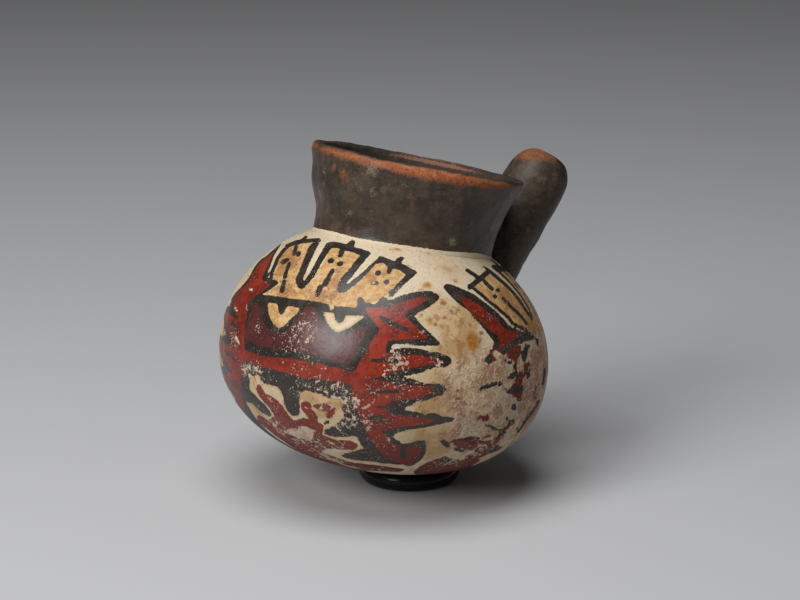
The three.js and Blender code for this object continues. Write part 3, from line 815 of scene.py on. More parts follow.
class Painting:
    """Signed distances, in metres, from each point of the wall to the edge of each paint."""

    REACH = 3.0 * MM

    def __init__(self, wall, sizes):
        self.wall = wall
        self.sizes = sizes
        self.bearing = np.arctan2(wall[:, 1], wall[:, 0])
        self.paints = {paint: np.full(len(wall), self.REACH) for paint in PAINTS}

    def lay(self, marks, turn=0.0, mirrored=False, start=None):
        """Puts marks on the wall, turned round the jar, and only past the bearing start."""
        for paint, width, text in marks:
            points = read_points(text)
            pixels = brush_outline(points, width) if width else curve_through(points, closed=True)
            outline = cast(pixels, self.sizes)
            bearing = np.arctan2(outline[:, 1], outline[:, 0])
            rho = np.hypot(outline[:, 0], outline[:, 1])
            if mirrored:
                bearing = 2 * FIGURE_AXIS - bearing
            bearing = bearing + turn
            placed = np.column_stack((rho * np.cos(bearing), rho * np.sin(bearing), outline[:, 2]))
            distance = signed_distance(self.wall, placed, self.REACH)
            if start is not None:
                past = np.angle(np.exp(1j * (start - self.bearing))) * self.sizes.belly_radius
                past = past + wander(self.wall, START_WAVES)
                distance = np.maximum(distance, np.clip(past, -self.REACH, self.REACH))
            self.paints[paint] = np.minimum(self.paints[paint], distance)

    def patches(self, spots, turns=(0.0,)):
        """How much of a soft-edged patch lies at each point, from 0 to 1."""
        amount = np.zeros(len(self.wall))
        centres = cast(np.array([spot[:2] for spot in spots], float), self.sizes)
        per_pixel = VIEW_DISTANCE / FOCAL_PIXELS
        for turn in turns:
            cosine, sine = math.cos(turn), math.sin(turn)
            for (_, _, reach, strength), centre in zip(spots, centres):
                placed = np.array((centre[0] * cosine - centre[1] * sine,
                                   centre[0] * sine + centre[1] * cosine, centre[2]))
                away = ((self.wall - placed) ** 2).sum(1) / (reach * per_pixel) ** 2
                amount = 1 - (1 - amount) * (1 - strength * np.exp(-away))
        return amount


def bell(values, middle, spread):
    """1 at the middle, falling away smoothly to both sides."""
    return np.exp(-((values - middle) / spread) ** 2)


def paint_the_wall(wall, sizes):
    """Every paint and kind of wear on the body, as a value at each point of its wall."""
    painting = Painting(wall, sizes)
    limbs = EAR + FINGERS
    painting.lay(PLUME_ONE + PLUMES_TWO_THREE + FACE + MASK + limbs + STAINS)
    painting.lay(EAR[:-1] + FINGERS, mirrored=True)
    painting.lay(LEFT_EAR + SECOND_EAR + REMNANTS + FLAKES)
    painting.lay(PLUMES_TWO_THREE, turn=SECOND_TURN)
    painting.lay(FACE + MASK + limbs, turn=SECOND_TURN, start=SECOND_START)
    painting.lay(PLUME_ONE + PLUMES_TWO_THREE + FACE + MASK + limbs, turn=THIRD_TURN)
    painting.lay(limbs, turn=THIRD_TURN, mirrored=True)
    values = {paint: distance / MM for paint, distance in painting.paints.items()}
    values["flaked"] = painting.patches(FLAKED, (0.0, SECOND_FLAKED_TURN, THIRD_TURN))
    aside = np.angle(np.exp(1j * (painting.bearing - SECOND_START)))
    low = np.clip((BARE_TOP - wall[:, 2]) / BARE_FADE, 0, 1)
    values["rubbed"] = np.maximum(painting.patches(RUBBED), bell(aside, 0.0, BARE_SPREAD) * low)
    values["tan_and_shade"] = painting.patches(TAN_AND_SHADE_PATCHES, (0.0, THIRD_TURN))
    values["crazed"] = painting.patches(CRAZED, (0.0, SECOND_TURN, THIRD_TURN))
    return values


def store(mesh, name, values):
    """Gives a mesh a named value at each of its points."""
    layer = mesh.attributes.new(name, "FLOAT", "POINT")
    layer.data.foreach_set("value", np.asarray(values, np.float32))


def coordinates(mesh):
    """The points of a mesh, one to a row."""
    places = np.empty(len(mesh.vertices) * 3, np.float32)
    mesh.vertices.foreach_get("co", places)
    return places.reshape(-1, 3).astype(float)


def labelled(sizes):
    """The jar's sizes under the names that the panel and the geometry trees have for them."""
    shown = sizes.bl_rna.properties
    return {shown[key].name: getattr(sizes, key) for key in JarSizes.__annotations__}


def grown(name, group, values):
    """An object whose mesh a geometry tree made, with the tree's inputs set by name."""
    obj = bpy.data.objects.new(name, bpy.data.meshes.new(name))
    bpy.context.scene.collection.objects.link(obj)
    modifier = obj.modifiers.new("Shape", "NODES")
    modifier.node_group = group
    for item in group.interface.items_tree:
        if item.item_type == "SOCKET" and item.in_out == "INPUT":
            modifier[item.identifier] = values[item.name]
    return plain(obj)


def plain(obj):
    """Turns what an object's modifiers make into its own mesh."""
    bpy.context.view_layer.update()
    graph = bpy.context.evaluated_depsgraph_get()
    mesh = bpy.data.meshes.new_from_object(obj.evaluated_get(graph), depsgraph=graph)
    mesh.name = obj.name
    obj.modifiers.clear()
    obj.data = mesh
    return obj


def geometry_tree(name, numbers, counts=(), vectors=()):
    """A new geometry tree with named inputs of three kinds."""
    group = bpy.data.node_groups.new(name, "GeometryNodeTree")
    group.interface.new_socket("Geometry", in_out="OUTPUT", socket_type="NodeSocketGeometry")
    kinds = {"NodeSocketFloat": numbers, "NodeSocketInt": counts, "NodeSocketVector": vectors}
    for kind, labels in kinds.items():
        for label in labels:
            group.interface.new_socket(label, in_out="INPUT", socket_type=kind)
    source = group.nodes.new("NodeGroupInput")
    return group, Tree(group), source.outputs


def close_geometry(group, tree, geometry, material):
    """Realize, shade smooth, set the material and hand the result out."""
    real = tree.add("GeometryNodeRealizeInstances", (geometry,))
    smooth = tree.add("GeometryNodeSetShadeSmooth", (real,))
    dressed = tree.add("GeometryNodeSetMaterial", {"Geometry": smooth, "Material": material})
    out = group.nodes.new("NodeGroupOutput")
    group.links.new(dressed, out.inputs[0])


def bake_map(tree, geometry, unwrapped, height, foot):
    """Keeps a primitive's own map, fitted into one band of the square that baking uses."""
    banded = tree.add("ShaderNodeVectorMath", {0: unwrapped, 1: (1.0, height, 1.0),
                                               2: (0.0, foot, 0.0)}, operation="MULTIPLY_ADD")
    return tree.add("GeometryNodeStoreNamedAttribute", {"Geometry": geometry, "Name": "OFBake",
                                                        "Value": banded},
                    data_type="FLOAT2", domain="CORNER")


# The turned wall: its rows of faces, and the angle at which the rows under the base end.
ROWS_UNDER = 12
ROWS_OUTSIDE = 148
ROWS_INSIDE = 12
UNDER_ANGLE = math.radians(-64.0)
SEAM_REACH = 2e-6
# Swells to a metre of its unevenness, and the drill for the spout's hole, in wall thicknesses.
SWELL_SCALE = 34.0
DRILL_WALLS = 5.0
DRILL_SIDES = 72
# Bands of the square that baking uses: height and foot.
WALL_BAND = (0.98, 0.0)
DRILL_BAND = (0.01, 0.99)


def turned_wall_tree(material):
    """A hollow body of revolution between two superellipses, open at the mouth."""
    group, tree, given = geometry_tree(
        "Turned Wall",
        numbers=("Belly Radius", "Base Depth", "Base Fullness", "Shoulder Rise",
                 "Shoulder Fullness", "Wall", "Unevenness", "Spout Bore Radius", "Mouth Angle"),
        counts=("Columns", "Rows Under", "Rows Outside", "Rows Inside"),
        vectors=("Bore Foot", "Bore Turn"))
    plus, minus, times = tree.plus, tree.minus, tree.times
    outer_rows = plus(given["Rows Under"], given["Rows Outside"])
    rows = plus(outer_rows, given["Rows Inside"])
    grid = tree.add("GeometryNodeMeshGrid",
                    (1.0, 1.0, plus(given["Columns"], 1.0), plus(rows, 1.0)))
    mapped = bake_map(tree, grid, grid.node.outputs["UV Map"], *WALL_BAND)
    place = tree.add("ShaderNodeSeparateXYZ", (tree.add("GeometryNodeInputPosition"),)).node
    azimuth = times(plus(place.outputs[0], 0.5), math.tau)
    row = times(plus(place.outputs[1], 0.5), rows)
    pole = -math.pi / 2
    under = tree.spread(row, 0.0, given["Rows Under"], pole, UNDER_ANGLE, smooth=False)
    outside = tree.spread(row, given["Rows Under"], outer_rows, 0.0,
                          minus(given["Mouth Angle"], UNDER_ANGLE), smooth=False)
    inside = tree.spread(row, plus(outer_rows, 1.0), rows, 0.0,
                         minus(pole, given["Mouth Angle"]), smooth=False)
    angle = plus(plus(under, outside), inside)
    inner = tree.math("GREATER_THAN", row, plus(outer_rows, 0.5))
    upper = tree.math("GREATER_THAN", angle, 0.0)
    lower = minus(1.0, upper)
    inset = times(inner, given["Wall"])
    fullness = plus(times(upper, given["Shoulder Fullness"]), times(lower, given["Base Fullness"]))
    reach = plus(times(upper, given["Shoulder Rise"]), times(lower, given["Base Depth"]))
    power = tree.math("DIVIDE", 2.0, fullness)
    cosine = tree.math("POWER", tree.most(tree.math("COSINE", angle), 0.0), power)
    sine = tree.math("SINE", angle)
    lift = tree.math("POWER", tree.math("ABSOLUTE", sine), power)
    rho = times(minus(given["Belly Radius"], inset), cosine)
    height = times(minus(reach, inset), times(lift, tree.math("SIGN", sine)))
    point = tree.add("ShaderNodeCombineXYZ", (times(rho, tree.math("COSINE", azimuth)),
                                              times(rho, tree.math("SINE", azimuth)), height))
    turned = tree.add("GeometryNodeSetPosition", {"Geometry": mapped, "Position": point})
    closed = tree.add("GeometryNodeMergeByDistance", {"Geometry": turned, "Distance": SEAM_REACH})
    swells = tree.noise(tree.add("GeometryNodeInputPosition"), SWELL_SCALE, 2.0, 0.45)
    swell = times(minus(swells, 0.5), times(given["Unevenness"], 2.0))
    push = tree.add("ShaderNodeVectorMath", {0: tree.add("GeometryNodeInputNormal"), 3: swell},
                    operation="SCALE")
    uneven = tree.add("GeometryNodeSetPosition", {"Geometry": closed, "Offset": push})
    drill = tree.add("GeometryNodeMeshCylinder", {
        "Vertices": DRILL_SIDES, "Radius": given["Spout Bore Radius"],
        "Depth": times(given["Wall"], DRILL_WALLS)})
    drill = bake_map(tree, drill, drill.node.outputs["UV Map"], *DRILL_BAND)
    drill = tree.add("GeometryNodeTransform", {"Geometry": drill, "Translation": given["Bore Foot"],
                                               "Rotation": given["Bore Turn"]})
    opened = tree.add("GeometryNodeMeshBoolean", {0: uneven, 1: drill}, operation="DIFFERENCE",
                      solver="MANIFOLD")
    close_geometry(group, tree, opened, material)
    return group


# Straight stretches round the display ring and round its section.
RING_SIDES = 192
RING_SECTION_SIDES = 64


def round_ring_tree(material):
    """A round section with a flat foot, carried round a circle."""
    group, tree, given = geometry_tree(
        "Round Ring", numbers=("Ring Radius", "Ring Section", "Ring Flat"))
    path = tree.add("GeometryNodeCurvePrimitiveCircle",
                    {"Resolution": RING_SIDES, "Radius": given["Ring Radius"]})
    section = tree.add("GeometryNodeCurvePrimitiveCircle",
                       {"Resolution": RING_SECTION_SIDES, "Radius": given["Ring Section"]})
    swept = tree.add("GeometryNodeCurveToMesh", (path, section))
    lifted = tree.add("ShaderNodeSeparateXYZ", (tree.add("GeometryNodeInputPosition"),)).node
    rise = tree.minus(given["Ring Section"], given["Ring Flat"])
    foot = tree.most(tree.plus(lifted.outputs[2], rise), 0.0)
    point = tree.add("ShaderNodeCombineXYZ", (lifted.outputs[0], lifted.outputs[1], foot))
    stood = tree.add("GeometryNodeSetPosition", {"Geometry": swept, "Position": point})
    close_geometry(group, tree, stood, material)
    return group


class Mottle:
    """The noises that every slip is mottled, specked and chipped with."""

    def __init__(self, tree, where):
        self.tree = tree
        self.broad = tree.noise(where, 45.0, 4.0, 0.55)
        self.blotch = tree.noise(where, 140.0, 6.0, 0.66)
        self.middle = tree.noise(where, 270.0, 5.0, 0.62)
        self.small = tree.noise(where, 580.0, 4.0, 0.66)
        self.fine = tree.noise(where, 1000.0, 4.0, 0.62)
        self.dust = tree.noise(where, 1700.0, 3.0, 0.66)
        self.grain = tree.noise(where, 2700.0, 2.0, 0.6)

    def about(self, value, share):
        """value round 0 instead of 0.5, times share."""
        return self.tree.times(self.tree.minus(value, 0.5), share)

    def between(self, value, low, high, first, second):
        """first where value is low, going over to second where it is high."""
        return self.tree.mix(self.tree.spread(value, low, high), first, second)

    def coats(self, colour, *coats):
        """colour under thin coats: (value, where it starts, where it is full, share, tint)."""
        for value, low, high, share, tint in coats:
            amount = self.tree.times(self.tree.spread(value, low, high), share)
            colour = self.tree.mix(amount, colour, tint)
        return colour


def cream_ground(tree, mottle, finish, tan_and_shade):
    """Cream slip, warmer in patches, tanned and specked with dirt."""
    ground = mottle.between(mottle.broad, 0.42, 0.70, finish.cream, scaled(finish.cream, 0.86))
    ground = tree.mix(tree.times(tan_and_shade, 0.8), ground, TAN)
    stained = tree.times(tan_and_shade, 0.17)
    soiled = tree.times(tan_and_shade, 0.06)
    return mottle.coats(
        ground,
        (tree.plus(mottle.small, stained), 0.52, 0.68, 0.5, STRAW),
        (tree.plus(mottle.blotch, stained), 0.57, 0.67, 0.7, BROWN_BLOTCH),
        (mottle.grain, 0.52, 0.68, 0.5, BROWN_GRAIN),
        (tree.plus(mottle.middle, stained), 0.66, 0.76, 0.75, RUST_CRUMB),
        (tree.plus(mottle.fine, soiled), 0.65, 0.70, 0.7, DARK_CRUMB))


def scoured_chalk(tree, mottle, where, tan_and_shade, pinkish):
    """Chalky ground where the cream slip is rubbed away: pinkish, greyed, blotched and pitted."""
    greyed = tree.noise(where, 95.0, 5.0, 0.66, 0.5)
    return mottle.coats(
        mottle.between(mottle.small, 0.44, 0.57, CHALK, CHALK_TAN),
        (pinkish, 0.50, 0.57, 0.8, CHALK_PINK),
        (greyed, 0.48, 0.58, 0.5, CHALK_GREY),
        (tree.plus(mottle.blotch, tree.times(tan_and_shade, 0.07)), 0.53, 0.60, 0.8, CHALK_BLOTCH),
        (mottle.fine, 0.54, 0.60, 0.7, CHALK_LIGHT),
        (mottle.grain, 0.55, 0.64, 0.7, CHALK_GRIT),
        (mottle.dust, 0.60, 0.66, 0.85, CHALK_PIT))


def black_brush(mottle, finish):
    """Black slip, thin in places."""
    black = finish.black
    return mottle.coats(
        mottle.between(mottle.middle, 0.42, 0.70, black, scaled(black, 2.1)),
        (mottle.grain, 0.56, 0.72, 0.5, scaled(black, 4.5)))


def red_brush(tree, mottle, finish, darkened):
    """Red slip, mottled, and darkened by kinds of wear and by painted shade: (share, how dark)."""
    red = finish.red
    colour = mottle.coats(
        mottle.between(mottle.blotch, 0.36, 0.62, scaled(red, 1.3), scaled(red, 0.62)),
        (mottle.small, 0.51, 0.64, 0.55, scaled(red, 1.5)),
        (mottle.fine, 0.54, 0.66, 0.55, scaled(red, 0.42)),
        (mottle.grain, 0.56, 0.72, 0.6, scaled(red, 0.4)))
    for share, dark in darkened:
        colour = tree.mix(share, colour, scaled(red, dark))
    return colour


def buff_brush(tree, mottle, finish, tan_and_shade, pinkish):
    """Buff slip, toasted brown in blotches and crumbs."""
    buff = finish.buff
    toasted = tree.times(tan_and_shade, 0.15)
    return mottle.coats(
        mottle.between(mottle.small, 0.43, 0.58, scaled(buff, 0.9), scaled(buff, 1.22)),
        (pinkish, 0.53, 0.62, 0.65, BUFF_LIGHT),
        (tree.plus(mottle.blotch, toasted), 0.51, 0.64, 0.75, BUFF_BROWN),
        (tree.plus(mottle.fine, toasted), 0.60, 0.68, 0.7, BUFF_CRUMB),
        (mottle.grain, 0.56, 0.70, 0.45, BUFF_GRAIN))


def plum_brush(mottle, finish):
    """Plum slip, clouded."""
    plum = finish.plum
    return mottle.coats(
        mottle.between(mottle.blotch, 0.35, 0.68, scaled(plum, 1.2), scaled(plum, 0.7)),
        (mottle.grain, 0.56, 0.72, 0.35, scaled(plum, 2.2)))


def chips_and_cracks(tree, mottle, where, flaked, rubbed, crazed):
    """How much of the paint has come off in chips, in specks and along crazing."""
    about, plus, part = mottle.about, tree.plus, tree.times
    loose = plus(plus(part(flaked, 0.27), part(rubbed, 0.05)), about(mottle.broad, 0.22))
    chips = tree.noise(where, 640.0, 6.0, 0.66, 0.4)
    chipped = tree.spread(plus(chips, loose), 0.70, 0.725)
    patchy = plus(part(loose, 0.5), about(mottle.blotch, 0.45))
    specks = tree.spread(plus(mottle.dust, patchy), 0.675, 0.705)
    drift = tree.add("ShaderNodeVectorMath", {0: mottle.fine.node.outputs["Color"], 3: CRACK_DRIFT},
                     operation="SCALE")
    strayed = tree.add("ShaderNodeVectorMath", {0: where, 1: drift}, operation="ADD")
    crack = tree.add("ShaderNodeTexVoronoi", {"Vector": strayed, "Scale": CRACK_SCALE},
                     feature="DISTANCE_TO_EDGE")
    cracked = part(tree.spread(crack, 0.01, 0.085, 1.0, 0.0),
                   tree.spread(plus(crazed, about(mottle.small, 3.2)), 0.62, 0.86))
    return tree.most(chipped, specks, cracked)


def painted_slip(finish):
    """Burnished slips laid over a cream ground, chipped, rubbed and stained."""
    material, tree, shader, where = finish_material("painted_slip")
    flaked, rubbed, tan_and_shade, crazed, hollow = (
        tree.attribute(name) for name in ("flaked", "rubbed", "tan_and_shade", "crazed", "hollow"))
    mottle = Mottle(tree, where)
    about, plus, part = mottle.about, tree.plus, tree.times
    pinkish = tree.noise(where, 210.0, 5.0, 0.7)

    scoured = tree.spread(plus(rubbed, about(mottle.blotch, 1.5)), 0.40, 0.80)
    ground = tree.mix(scoured, cream_ground(tree, mottle, finish, tan_and_shade),
                      scoured_chalk(tree, mottle, where, tan_and_shade, pinkish))

    tatter = plus(about(mottle.fine, 2.2), about(mottle.small, 2.8))
    frailty = plus(part(flaked, 0.7), part(rubbed, 0.55))
    ragged = plus(part(tatter, plus(frailty, 0.30)), about(mottle.grain, 0.4))

    def edge(paint, tear):
        """Distance to the edge of a paint, in millimetres, torn by its wear."""
        return plus(tree.attribute(paint), part(ragged, tear))

    def covered(paint, tear=1.0):
        """1 within a paint, 0 outside it."""
        return tree.spread(edge(paint, tear), -0.10, 0.10, 1.0, 0.0)

    ochre = mottle.between(mottle.fine, 0.40, 0.60, finish.ochre, scaled(finish.ochre, 0.55))
    ground = tree.mix(tree.spread(edge("stain", 2.0), -0.9, 0.9, 0.95, 0.0), ground, ochre)
    ground = tree.mix(tree.spread(edge("speck", 2.2), -0.6, 0.5, 0.9, 0.0), ground, SPECK)

    # Painted shade: low darkens the red toward the bottom, and also makes the slips matt there.
    lifted = tree.add("ShaderNodeSeparateXYZ", (where,), out=2)
    low = tree.spread(lifted, LOW_SHADE_AND_WEAR_FOOT, LOW_SHADE_AND_WEAR_TOP, 0.85, 0.0)
    black = black_brush(mottle, finish)
    # Red darkened by flaking, rubbing, painted shade toward the bottom, and tan (painted shade on
    # the left ear).
    red = red_brush(tree, mottle, finish, ((part(flaked, 0.4), 0.45), (low, 0.38),
                                           (part(rubbed, 0.6), 0.42), (part(tan_and_shade, 0.3), 0.5)))
    buff = buff_brush(tree, mottle, finish, tan_and_shade, pinkish)
    fringe = tree.spread(edge("cream", 1.6), -1.3, 0.1)
    layers = (("buff", buff), ("black", black), ("red", red), ("plum", plum_brush(mottle, finish)),
              ("cream", tree.mix(part(fringe, 0.75), ground, FRINGE)), ("buff_over", buff),
              ("red_over", red), ("black_over", black))
    colour = ground
    painted = 0.0
    for paint, slip in layers:
        share = covered(paint)
        colour = tree.mix(share, colour, slip)
        if paint in ("black", "red", "plum", "red_over", "black_over"):
            painted = tree.most(painted, share)
        elif paint in ("cream", "buff_over"):
            painted = part(painted, tree.minus(1.0, share))

    bare = part(chips_and_cracks(tree, mottle, where, flaked, rubbed, crazed), painted)
    bare = tree.most(bare, covered("chalk", 2.2))
    pale = mottle.coats(
        mottle.between(mottle.grain, 0.4, 0.6, finish.pale, scaled(finish.pale, 0.75)),
        (pinkish, 0.47, 0.57, 0.38, PALE_PINK),
        (mottle.middle, 0.47, 0.58, 0.6, PALE_BROWN))
    colour = tree.mix(bare, colour, pale)
    unslipped = mottle.between(mottle.blotch, 0.40, 0.65, finish.inside,
                               scaled(finish.inside, 0.55))
    colour = tree.mix(hollow, colour, unslipped)
    tree.feed(shader.inputs["Base Color"], colour)

    gloss = tree.spread(mottle.middle, 0.3, 0.7, 0.25, 0.36, smooth=False)
    dull = tree.most(bare, hollow, part(scoured, 0.9), part(tree.minus(1.0, painted), 0.5), low)
    rough = tree.add("ShaderNodeMix", {0: dull, 2: gloss, 3: 0.85}, data_type="FLOAT")
    tree.feed(shader.inputs["Roughness"], rough)
    shader.inputs["Specular IOR Level"].default_value = 0.44
    relief = plus(part(mottle.fine, 0.35), part(mottle.middle, 0.8))
    relief = tree.minus(relief, part(bare, 0.6))
    pitted = plus(part(mottle.fine, 1.6), part(mottle.small, 2.4))
    relief = plus(relief, part(pitted, scoured))
    bump(tree, shader, relief, strength=0.6, distance=0.00022)
    return material


class JAR_OT_wall(bpy.types.Operator):
    """Turn the hollow body, open its spout hole and paint it."""

    bl_idname = "jar.wall"
    bl_label = "Painted Body"

    # Points of the wall with a level above this one are on its outside.
    OUTSIDE_LEVEL = -0.06

    def execute(self, context):
        sizes, finish = context.scene.jar_sizes, context.scene.jar_finish
        narrowing = sizes.collar_radius / sizes.belly_radius
        body = grown("painted_body", turned_wall_tree(painted_slip(finish)), {
            **labelled(sizes),
            "Mouth Angle": math.acos(narrowing ** (sizes.shoulder_fullness / 2)),
            "Rows Under": ROWS_UNDER, "Rows Outside": ROWS_OUTSIDE, "Rows Inside": ROWS_INSIDE,
            "Bore Foot": Vector(NeckForm(sizes).spout_foot),
            "Bore Turn": Vector((0.0, SPOUT_LEAN, SPOUT_AZIMUTH))})
        mesh = body.data
        places = coordinates(mesh)
        outside = wall_level(places, sizes)[0] > self.OUTSIDE_LEVEL
        values = paint_the_wall(onto_wall(places[outside], sizes), sizes)
        for name, amounts in values.items():
            everywhere = np.full(len(places), Painting.REACH / MM if name in PAINTS else 0.0)
            everywhere[outside] = amounts
            store(mesh, name, everywhere)
        store(mesh, "hollow", ~outside)
        mesh.transform(jar_place())
        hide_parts("base_bowl", "belly_strap", "shoulder_strap")
        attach(body, "jar")
        return {"FINISHED"}


def soft_union(first, second, reach):
    """The lesser of two distances, with a hollow fillet between them."""
    lap = np.maximum(reach - np.abs(first - second), 0.0) / reach
    return np.minimum(first, second) - lap * lap * reach / 4


class NeckForm:
    """The collar and the spout as one distance field in the jar's frame, in metres."""

    COLLAR_FILLET = 1.2 * MM
    SPOUT_FILLET = 5.0 * MM
    SIDE_FILLET = 7.0 * MM
    LIP_ROUND = 1.2 * MM
    LIP_WIDTH = 2.2 * MM
    LIP_FALL = 2.6 * MM
    FULL_SHARE = 0.42
    FULL_BEARING = math.radians(-140.0)
    FULL_FROM = 0.12
    FULL_OVER = 0.5
    ROOT = 6.0 * MM
    SINK = 0.9 * MM
    FEATHER = 0.06 * MM
    BORE_EASE = 1.6 * MM

    def __init__(self, sizes):
        self.sizes = sizes
        self.seat = shoulder_height(sizes.collar_radius, sizes)
        foot_height = shoulder_height(sizes.spout_standoff, sizes)
        cosine, sine = math.cos(SPOUT_AZIMUTH), math.sin(SPOUT_AZIMUTH)
        self.spout_foot = np.array((sizes.spout_standoff * cosine, sizes.spout_standoff * sine,
                                    foot_height))
        self.spout_axis = np.array((math.sin(SPOUT_LEAN) * cosine, math.sin(SPOUT_LEAN) * sine,
                                    math.cos(SPOUT_LEAN)))
        round_centre = sizes.spout_lip_radius - sizes.spout_end_round
        lip_turn = math.acos((sizes.spout_bore_radius - round_centre) / sizes.spout_end_round)
        self.round_foot = sizes.spout_length - sizes.spout_end_round * math.sin(lip_turn)

    def collar_place(self, points):
        """Radius and height of points in the collar before its rim settled."""
        sizes = self.sizes
        dip = math.tan(sizes.rim_slope)
        x, y, z = points[..., 0], points[..., 1], points[..., 2]
        shifted = x
        for _ in range(2):
            lean = shifted * math.cos(RIM_DIP_AZIMUTH) + y * math.sin(RIM_DIP_AZIMUTH)
            height = (z - self.seat) / (1 - dip * lean / sizes.collar_height)
            shifted = x - sizes.rim_drift * np.clip(height, 0, None) / sizes.collar_height
        return np.hypot(shifted, y), height

    def collar_section(self, points):
        """How far points are out from the middle of the collar's wall, and how high up it."""
        sizes = self.sizes
        rho, height = self.collar_place(points)
        share = np.clip(height / sizes.collar_height, 0, 1)
        early = np.clip((share - self.FULL_FROM) / self.FULL_OVER, 0, 1)
        early = early * early * (3 - 2 * early)
        full_side = self.FULL_SHARE * self.full_side(points)
        flare = sizes.collar_flare * (share**2 + full_side * (early - share**2))
        middle = sizes.collar_radius + flare - sizes.wall / 2
        slope = 2 * sizes.collar_flare * share / sizes.collar_height
        return (rho - middle) / np.sqrt(1 + slope**2), height

    def full_side(self, points):
        """1 on the side where the collar is fullest and its lip roundest, 0 across from it."""
        return 0.5 + 0.5 * np.cos(np.arctan2(points[..., 1], points[..., 0]) - self.FULL_BEARING)

    def collar(self, points):
        """The flared wall, its lip rounded further down outside than inside."""
        sizes = self.sizes
        across, height = self.collar_section(points)
        outside = across > 0
        width = np.where(outside, self.LIP_WIDTH, self.LIP_ROUND)
        outer_fall = self.LIP_ROUND + self.LIP_FALL * self.full_side(points)
        fall = np.where(outside, outer_fall, self.LIP_ROUND)
        out, top = np.abs(across) - sizes.wall / 2, height - sizes.collar_height
        turn = np.hypot(np.maximum(out + width, 0) / width, np.maximum(top + fall, 0) / fall)
        lip = np.where((out > -width) & (top > -fall), (turn - 1) * width, np.maximum(out, top))
        return np.maximum(lip, -height - self.ROOT)

    def spots(self, points, places):
        """How much of a soft spot on the collar lies at each point; places are on its outside."""
        sizes = self.sizes
        amount = np.zeros(len(points))
        for bearing, share, reach in places:
            radius = sizes.collar_radius + sizes.collar_flare * share**2
            centre = np.array((radius * math.cos(math.radians(bearing)),
                               radius * math.sin(math.radians(bearing)),
                               self.seat + share * sizes.collar_height))
            away = ((points - centre) ** 2).sum(1) / (reach * MM) ** 2
            amount = np.maximum(amount, np.exp(-away))
        return amount

    def spout_place(self, points):
        """How far points are from the spout's axis, and how far along it."""
        arms = points - self.spout_foot
        along = arms @ self.spout_axis
        rho = np.sqrt(np.maximum((arms**2).sum(-1) - along**2, 0.0))
        return rho, along

    def spout(self, points):
        """A round-ended stem with its bore taken out."""
        sizes = self.sizes
        rho, along = self.spout_place(points)
        share = np.clip(along / sizes.spout_length, 0, 1)
        widening = sizes.spout_lip_radius - sizes.spout_foot_radius
        radius = sizes.spout_foot_radius + widening * share
        side = rho - radius + sizes.spout_end_round
        top = along - self.round_foot
        stem = (np.hypot(np.maximum(side, 0), np.maximum(top, 0))
                + np.minimum(np.maximum(side, top), 0) - sizes.spout_end_round)
        return -soft_union(-stem, rho - sizes.spout_bore_radius, self.BORE_EASE)

    def body(self, points):
        """About how far points are outside the body's wall."""
        step = 0.02 * MM
        level = wall_level(points, self.sizes)[0]
        rho = np.hypot(points[..., 0], points[..., 1])
        aside = points * (1 + step / np.maximum(rho, 1 * MM))[..., None]
        growth = wall_level(aside, self.sizes)[0] - level
        travel = np.linalg.norm(aside - points, axis=-1)
        return level * travel / np.maximum(growth, 1e-9)

    def __call__(self, points):
        """Distance to the part of the collar and spout that shows above the body."""
        collar, spout, body = self.collar(points), self.spout(points), self.body(points)
        raised = np.minimum(soft_union(collar, body, self.COLLAR_FILLET),
                            soft_union(spout, body, self.SPOUT_FILLET))
        raised = np.minimum(raised, soft_union(collar, spout, self.SIDE_FILLET))
        bore = self.sizes.spout_bore_radius - self.spout_place(points)[0]
        shown = np.maximum(raised, -(body + self.SINK))
        shown = np.maximum(shown, self.FEATHER - (body - raised))
        return np.maximum(shown, bore)


def surface_net(field, low, step):
    """Points and quads of the zero surface of a distance field sampled on a grid."""
    inside = field < 0
    cells = tuple(size - 1 for size in field.shape)
    corners = [(a, b, c) for a in (0, 1) for b in (0, 1) for c in (0, 1)]

    def corner(array, offset):
        """What each cell has at one of its corners."""
        return array[tuple(slice(o, o + n) for o, n in zip(offset, cells))]

    held = sum(corner(inside, offset).astype(np.int8) for offset in corners)
    crossed = (held > 0) & (held < 8)
    index = np.full(cells, -1)
    index[crossed] = np.arange(crossed.sum())
    where = np.argwhere(crossed)
    total, hits = np.zeros((len(where), 3)), np.zeros(len(where))
    for axis in range(3):
        for offset in corners:
            if offset[axis]:
                continue
            far = tuple(o + (k == axis) for k, o in enumerate(offset))
            start, end = corner(field, offset)[crossed], corner(field, far)[crossed]
            cut = (start < 0) != (end < 0)
            share = np.where(cut, start / np.where(cut, start - end, 1.0), 0.0)
            place = np.tile(np.array(offset, float), (len(where), 1))
            place[:, axis] += share
            total += place * cut[:, None]
            hits += cut
    points = low + (where + total / hits[:, None]) * step
    quads = []
    for axis in range(3):
        first, second = (axis + 1) % 3, (axis + 2) % 3
        ahead = [slice(None)] * 3
        ahead[axis] = slice(1, None)
        behind = [slice(None)] * 3
        behind[axis] = slice(None, -1)
        change = inside[tuple(behind)].astype(np.int8) - inside[tuple(ahead)].astype(np.int8)
        for sign in (1, -1):
            edges = np.argwhere(change == sign)
            keep = ((edges[:, first] > 0) & (edges[:, second] > 0)
                    & (edges[:, first] < cells[first]) & (edges[:, second] < cells[second]))
            edges = edges[keep]
            ring = []
            for back_first, back_second in ((1, 1), (0, 1), (0, 0), (1, 0)):
                cell = edges.copy()
                cell[:, first] -= back_first
                cell[:, second] -= back_second
                ring.append(index[tuple(cell.T)])
            quads.append(np.column_stack(ring if sign > 0 else ring[::-1]))
    return points, np.vstack(quads)


def gradient(form, points, step=0.05 * MM):
    """Which way, and how fast, a form's distance grows at each point."""
    slopes = [form(points + step * unit) - form(points - step * unit) for unit in np.eye(3)]
    return np.column_stack(slopes) / (2 * step)


